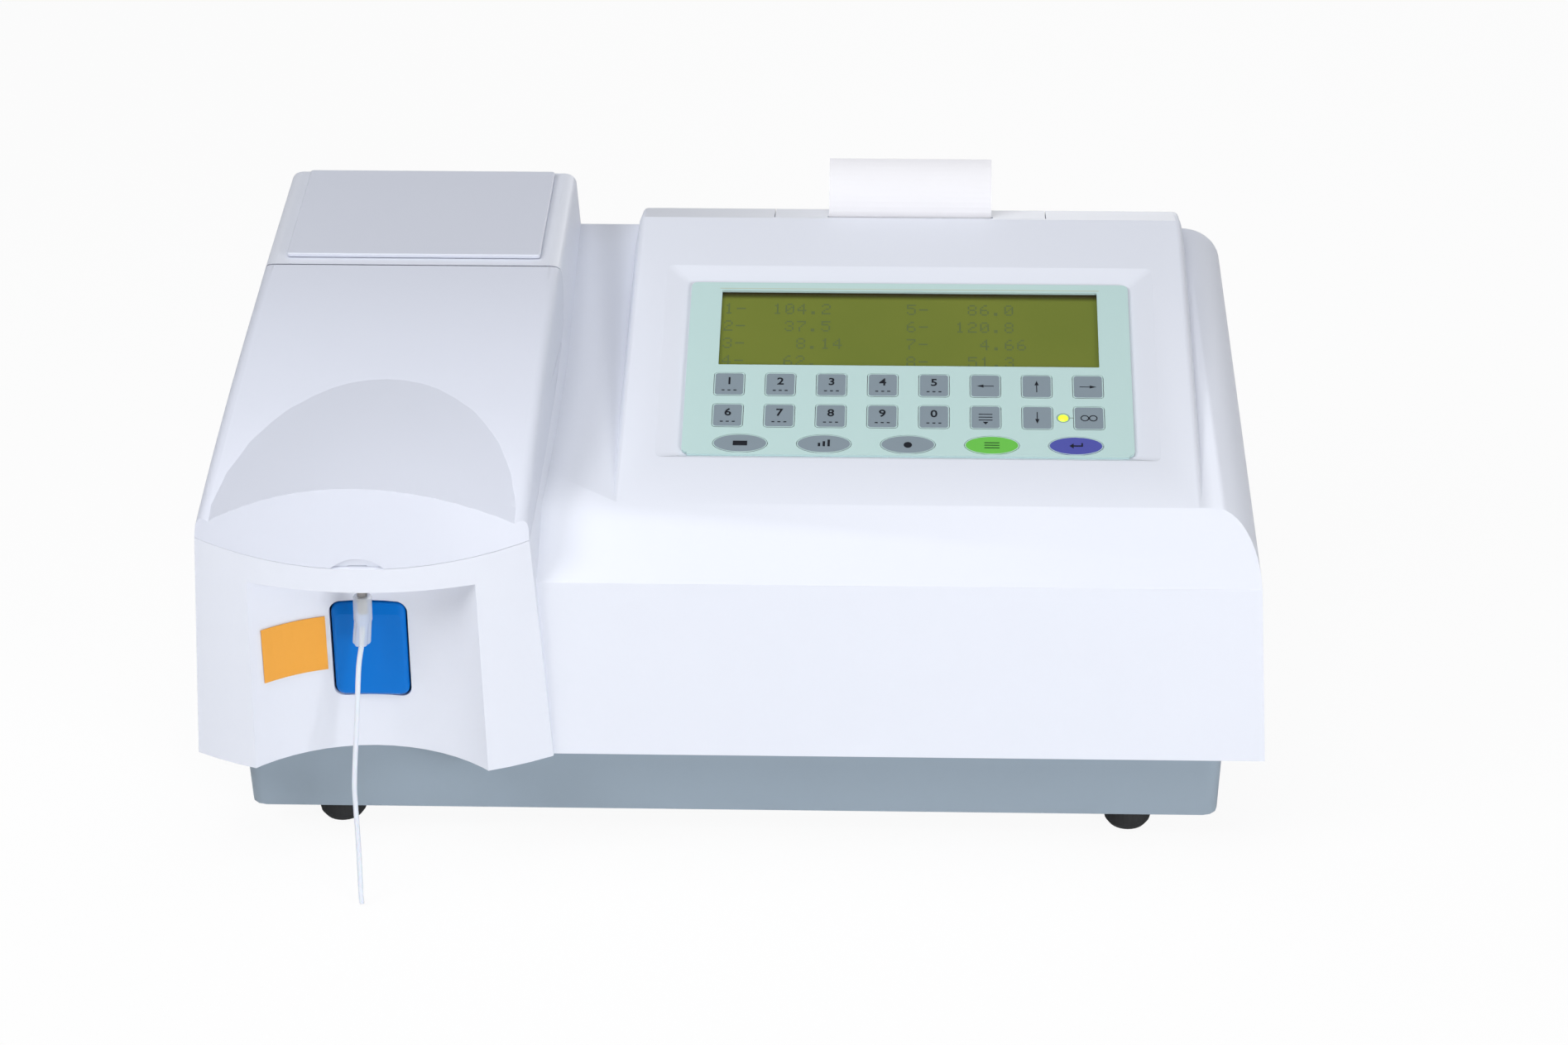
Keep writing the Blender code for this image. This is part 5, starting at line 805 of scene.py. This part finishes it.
def hangTube(values):
    points, length = smoothRoute(values["route"], values["count"])
    curve = bpy.data.curves.new("aspirationTubeLine", "CURVE")
    curve.dimensions = "3D"
    spline = curve.splines.new("POLY")
    spline.points.add(len(points) - 1)
    for target, point in zip(spline.points, points):
        target.co = (*point, 1)
    spline.use_smooth = True
    curve.bevel_depth = values["radius"]
    curve.bevel_resolution = values["roundness"]
    curve.use_fill_caps = True
    curve.materials.append(finish["tube"])
    piece = bpy.data.objects.new("aspirationTubeLine", curve)
    scene.collection.objects.link(piece)
    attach(piece, "root")
    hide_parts("aspiration_tube")


hangTube(tube)
print("tube hung")

# Clear sleeve on the nozzle
sleeve = {
    "top": (-0.1181, -0.09087, 0.1076),
    "knee": (-0.1181, -0.09087, 0.1009),
    "foot": (-0.119302, -0.09087, 0.089463),
    # shares of the length with the radius there
    "profile": ((0.0, 0.0027), (0.03, 0.0031), (0.50, 0.0031), (0.53, 0.0029), (0.97, 0.0030), (1.0, 0.0027)),
    "sides": 32,
    "ribs": 6,
    "ribShare": 0.045,
    "grooveShare": 0.10,
    "grooveFrom": 0.51,  # share of the length where the grooves between the ribs get deeper
    "grooveBelow": -0.4,
    "sharp": math.radians(35),
}


def makeSleeve(values):
    top, knee, foot = (Vector(values[k]) for k in ("top", "knee", "foot"))
    upper, lower = (top - knee).length, (knee - foot).length
    bm = bmesh.new()
    rings = []
    for share, radius in values["profile"]:
        along = share * (upper + lower)
        centre = top.lerp(knee, along / upper) if along < upper else knee.lerp(foot, (along - upper) / lower)
        ring = []
        for k in range(values["sides"]):
            t = 2 * math.pi * k / values["sides"]
            wave = math.cos(values["ribs"] * t)
            ribbed = 1 - values["ribShare"] + values["ribShare"] * wave
            if share > values["grooveFrom"] and wave < values["grooveBelow"]:
                ribbed -= values["grooveShare"]
            spot = Vector((math.cos(t), math.sin(t), 0)) * radius * ribbed
            ring.append(bm.verts.new(centre + spot))
        rings.append(ring)
    for ring, after in zip(rings, rings[1:]):
        joinRings(bm, ring, after)
    bm.faces.new(rings[0])
    bm.faces.new(rings[-1][::-1])
    piece = meshPiece("nozzleSleeveSkin", bm, "root", "sleeve")
    piece.data.shade_smooth()
    piece.data.set_sharp_from_angle(angle=values["sharp"])
    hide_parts("nozzle_sleeve")


makeSleeve(sleeve)
print("sleeve made")

# Fillets in the four corners of the blue key's opening
opening = {
    "middle": (-0.1181, 0.0805),  # x and z of the blue key's centre
    "half": (0.01285, 0.0182),
    "radius": 0.0036,
    "wall": (-0.07909, 0.0575),  # y at the recess's deepest line, and the recess's radius
    "depth": 0.0016,
    "steps": 6,
}


def roundOpening(values):
    (midX, midZ), (halfX, halfZ), radius = values["middle"], values["half"], values["radius"]
    wallY, wallRadius = values["wall"]
    outline = [(halfX, halfZ)]
    for k in range(values["steps"] + 1):
        t = math.pi / 2 * k / values["steps"]
        outline.append((halfX - radius + radius * math.cos(t), halfZ - radius + radius * math.sin(t)))
    bm = bmesh.new()
    for sideX, sideZ in ((1, 1), (-1, 1), (-1, -1), (1, -1)):
        rings = []
        for depth in (0.0, values["depth"]):
            ring = []
            for x, z in outline:
                y = wallY - wallRadius + math.sqrt(wallRadius**2 - x**2) + depth
                ring.append(bm.verts.new((midX + sideX * x, y, midZ + sideZ * z)))
            rings.append(ring)
        joinRings(bm, *rings)
        bm.faces.new(rings[0])
        bm.faces.new(rings[1][::-1])
    meshPiece("openingCorners", bm, "root", "shell")


roundOpening(opening)
print("opening rounded")

# Lamps, world and floor
light = {
    # place, size and power of each lamp
    "frontLamp": ((1.0, -1.45, 0.60), (0.7, 0.5), 16.0),
    "leftLamp": ((-0.95, -0.75, 1.15), (0.7, 0.5), 9.0),
    "topLamp": ((0.0, -0.15, 1.6), (0.9, 0.7), 4.9),
    "highLamp": ((-0.3, -0.6, 1.5), (0.6, 0.5), 3.8),
    "rearLamp": ((0.4, 1.7, 0.28), (0.9, 0.4), 4.5),
}
aim = (0, 0, 0.09)
sky = {"color": (0.92, 0.95, 1.0), "diffuse": 0.15, "glossy": 0.45, "clear": 1, "camera": 1}
ground = {"size": 6, "color": (0.93, 0.93, 0.93), "rough": 0.8, "glow": 0.93}


def areaLamp(name, place, size, power):
    data = bpy.data.lights.new(name, "AREA")
    data.shape = "RECTANGLE"
    data.size, data.size_y = size
    data.energy = power
    made = bpy.data.objects.new(name, data)
    scene.collection.objects.link(made)
    made.location = place
    made.rotation_euler = (Vector(aim) - Vector(place)).to_track_quat("-Z", "Y").to_euler()


def paintWorld(values):
    world = bpy.data.worlds.new("studio")
    scene.world = world
    world.use_nodes = True
    tree = world.node_tree
    links = tree.links
    path = addNode(tree, "ShaderNodeLightPath")
    last = tree.nodes["Background"]
    last.inputs["Color"].default_value = (*values["color"], 1)
    last.inputs["Strength"].default_value = values["diffuse"]
    rays = {"Is Glossy Ray": "glossy", "Is Transmission Ray": "clear", "Is Camera Ray": "camera"}
    for ray, strength in rays.items():
        plain = addNode(tree, "ShaderNodeBackground")
        plain.inputs["Strength"].default_value = values[strength]
        mix = addNode(tree, "ShaderNodeMixShader")
        links.new(path.outputs[ray], mix.inputs[0])
        links.new(last.outputs[0], mix.inputs[1])
        links.new(plain.outputs[0], mix.inputs[2])
        last = mix
    links.new(last.outputs[0], tree.nodes["World Output"].inputs["Surface"])


def layFloor(values):
    bm = bmesh.new()
    bmesh.ops.create_grid(bm, x_segments=1, y_segments=1, size=values["size"])
    mesh = bpy.data.meshes.new("floor")
    bm.to_mesh(mesh)
    bm.free()
    floor = bpy.data.objects.new("floor", mesh)
    scene.collection.objects.link(floor)
    made = bpy.data.materials.new("paleFloor")
    made.use_nodes = True
    tree = made.node_tree
    shader = tree.nodes["Principled BSDF"]
    shader.inputs["Base Color"].default_value = (*values["color"], 1)
    shader.inputs["Roughness"].default_value = values["rough"]
    # The camera sees the floor almost white, and the lamps light it as it is
    glow = addNode(tree, "ShaderNodeEmission")
    path = addNode(tree, "ShaderNodeLightPath")
    share = addNode(tree, "ShaderNodeMath", operation="MULTIPLY")
    share.inputs[1].default_value = values["glow"]
    mix = addNode(tree, "ShaderNodeMixShader")
    links = tree.links
    links.new(path.outputs["Is Camera Ray"], share.inputs[0])
    links.new(share.outputs[0], mix.inputs[0])
    links.new(shader.outputs[0], mix.inputs[1])
    links.new(glow.outputs[0], mix.inputs[2])
    links.new(mix.outputs[0], tree.nodes["Material Output"].inputs["Surface"])
    mesh.materials.append(made)


for name, values in light.items():
    areaLamp(name, *values)
paintWorld(sky)
layFloor(ground)
print("stage set")
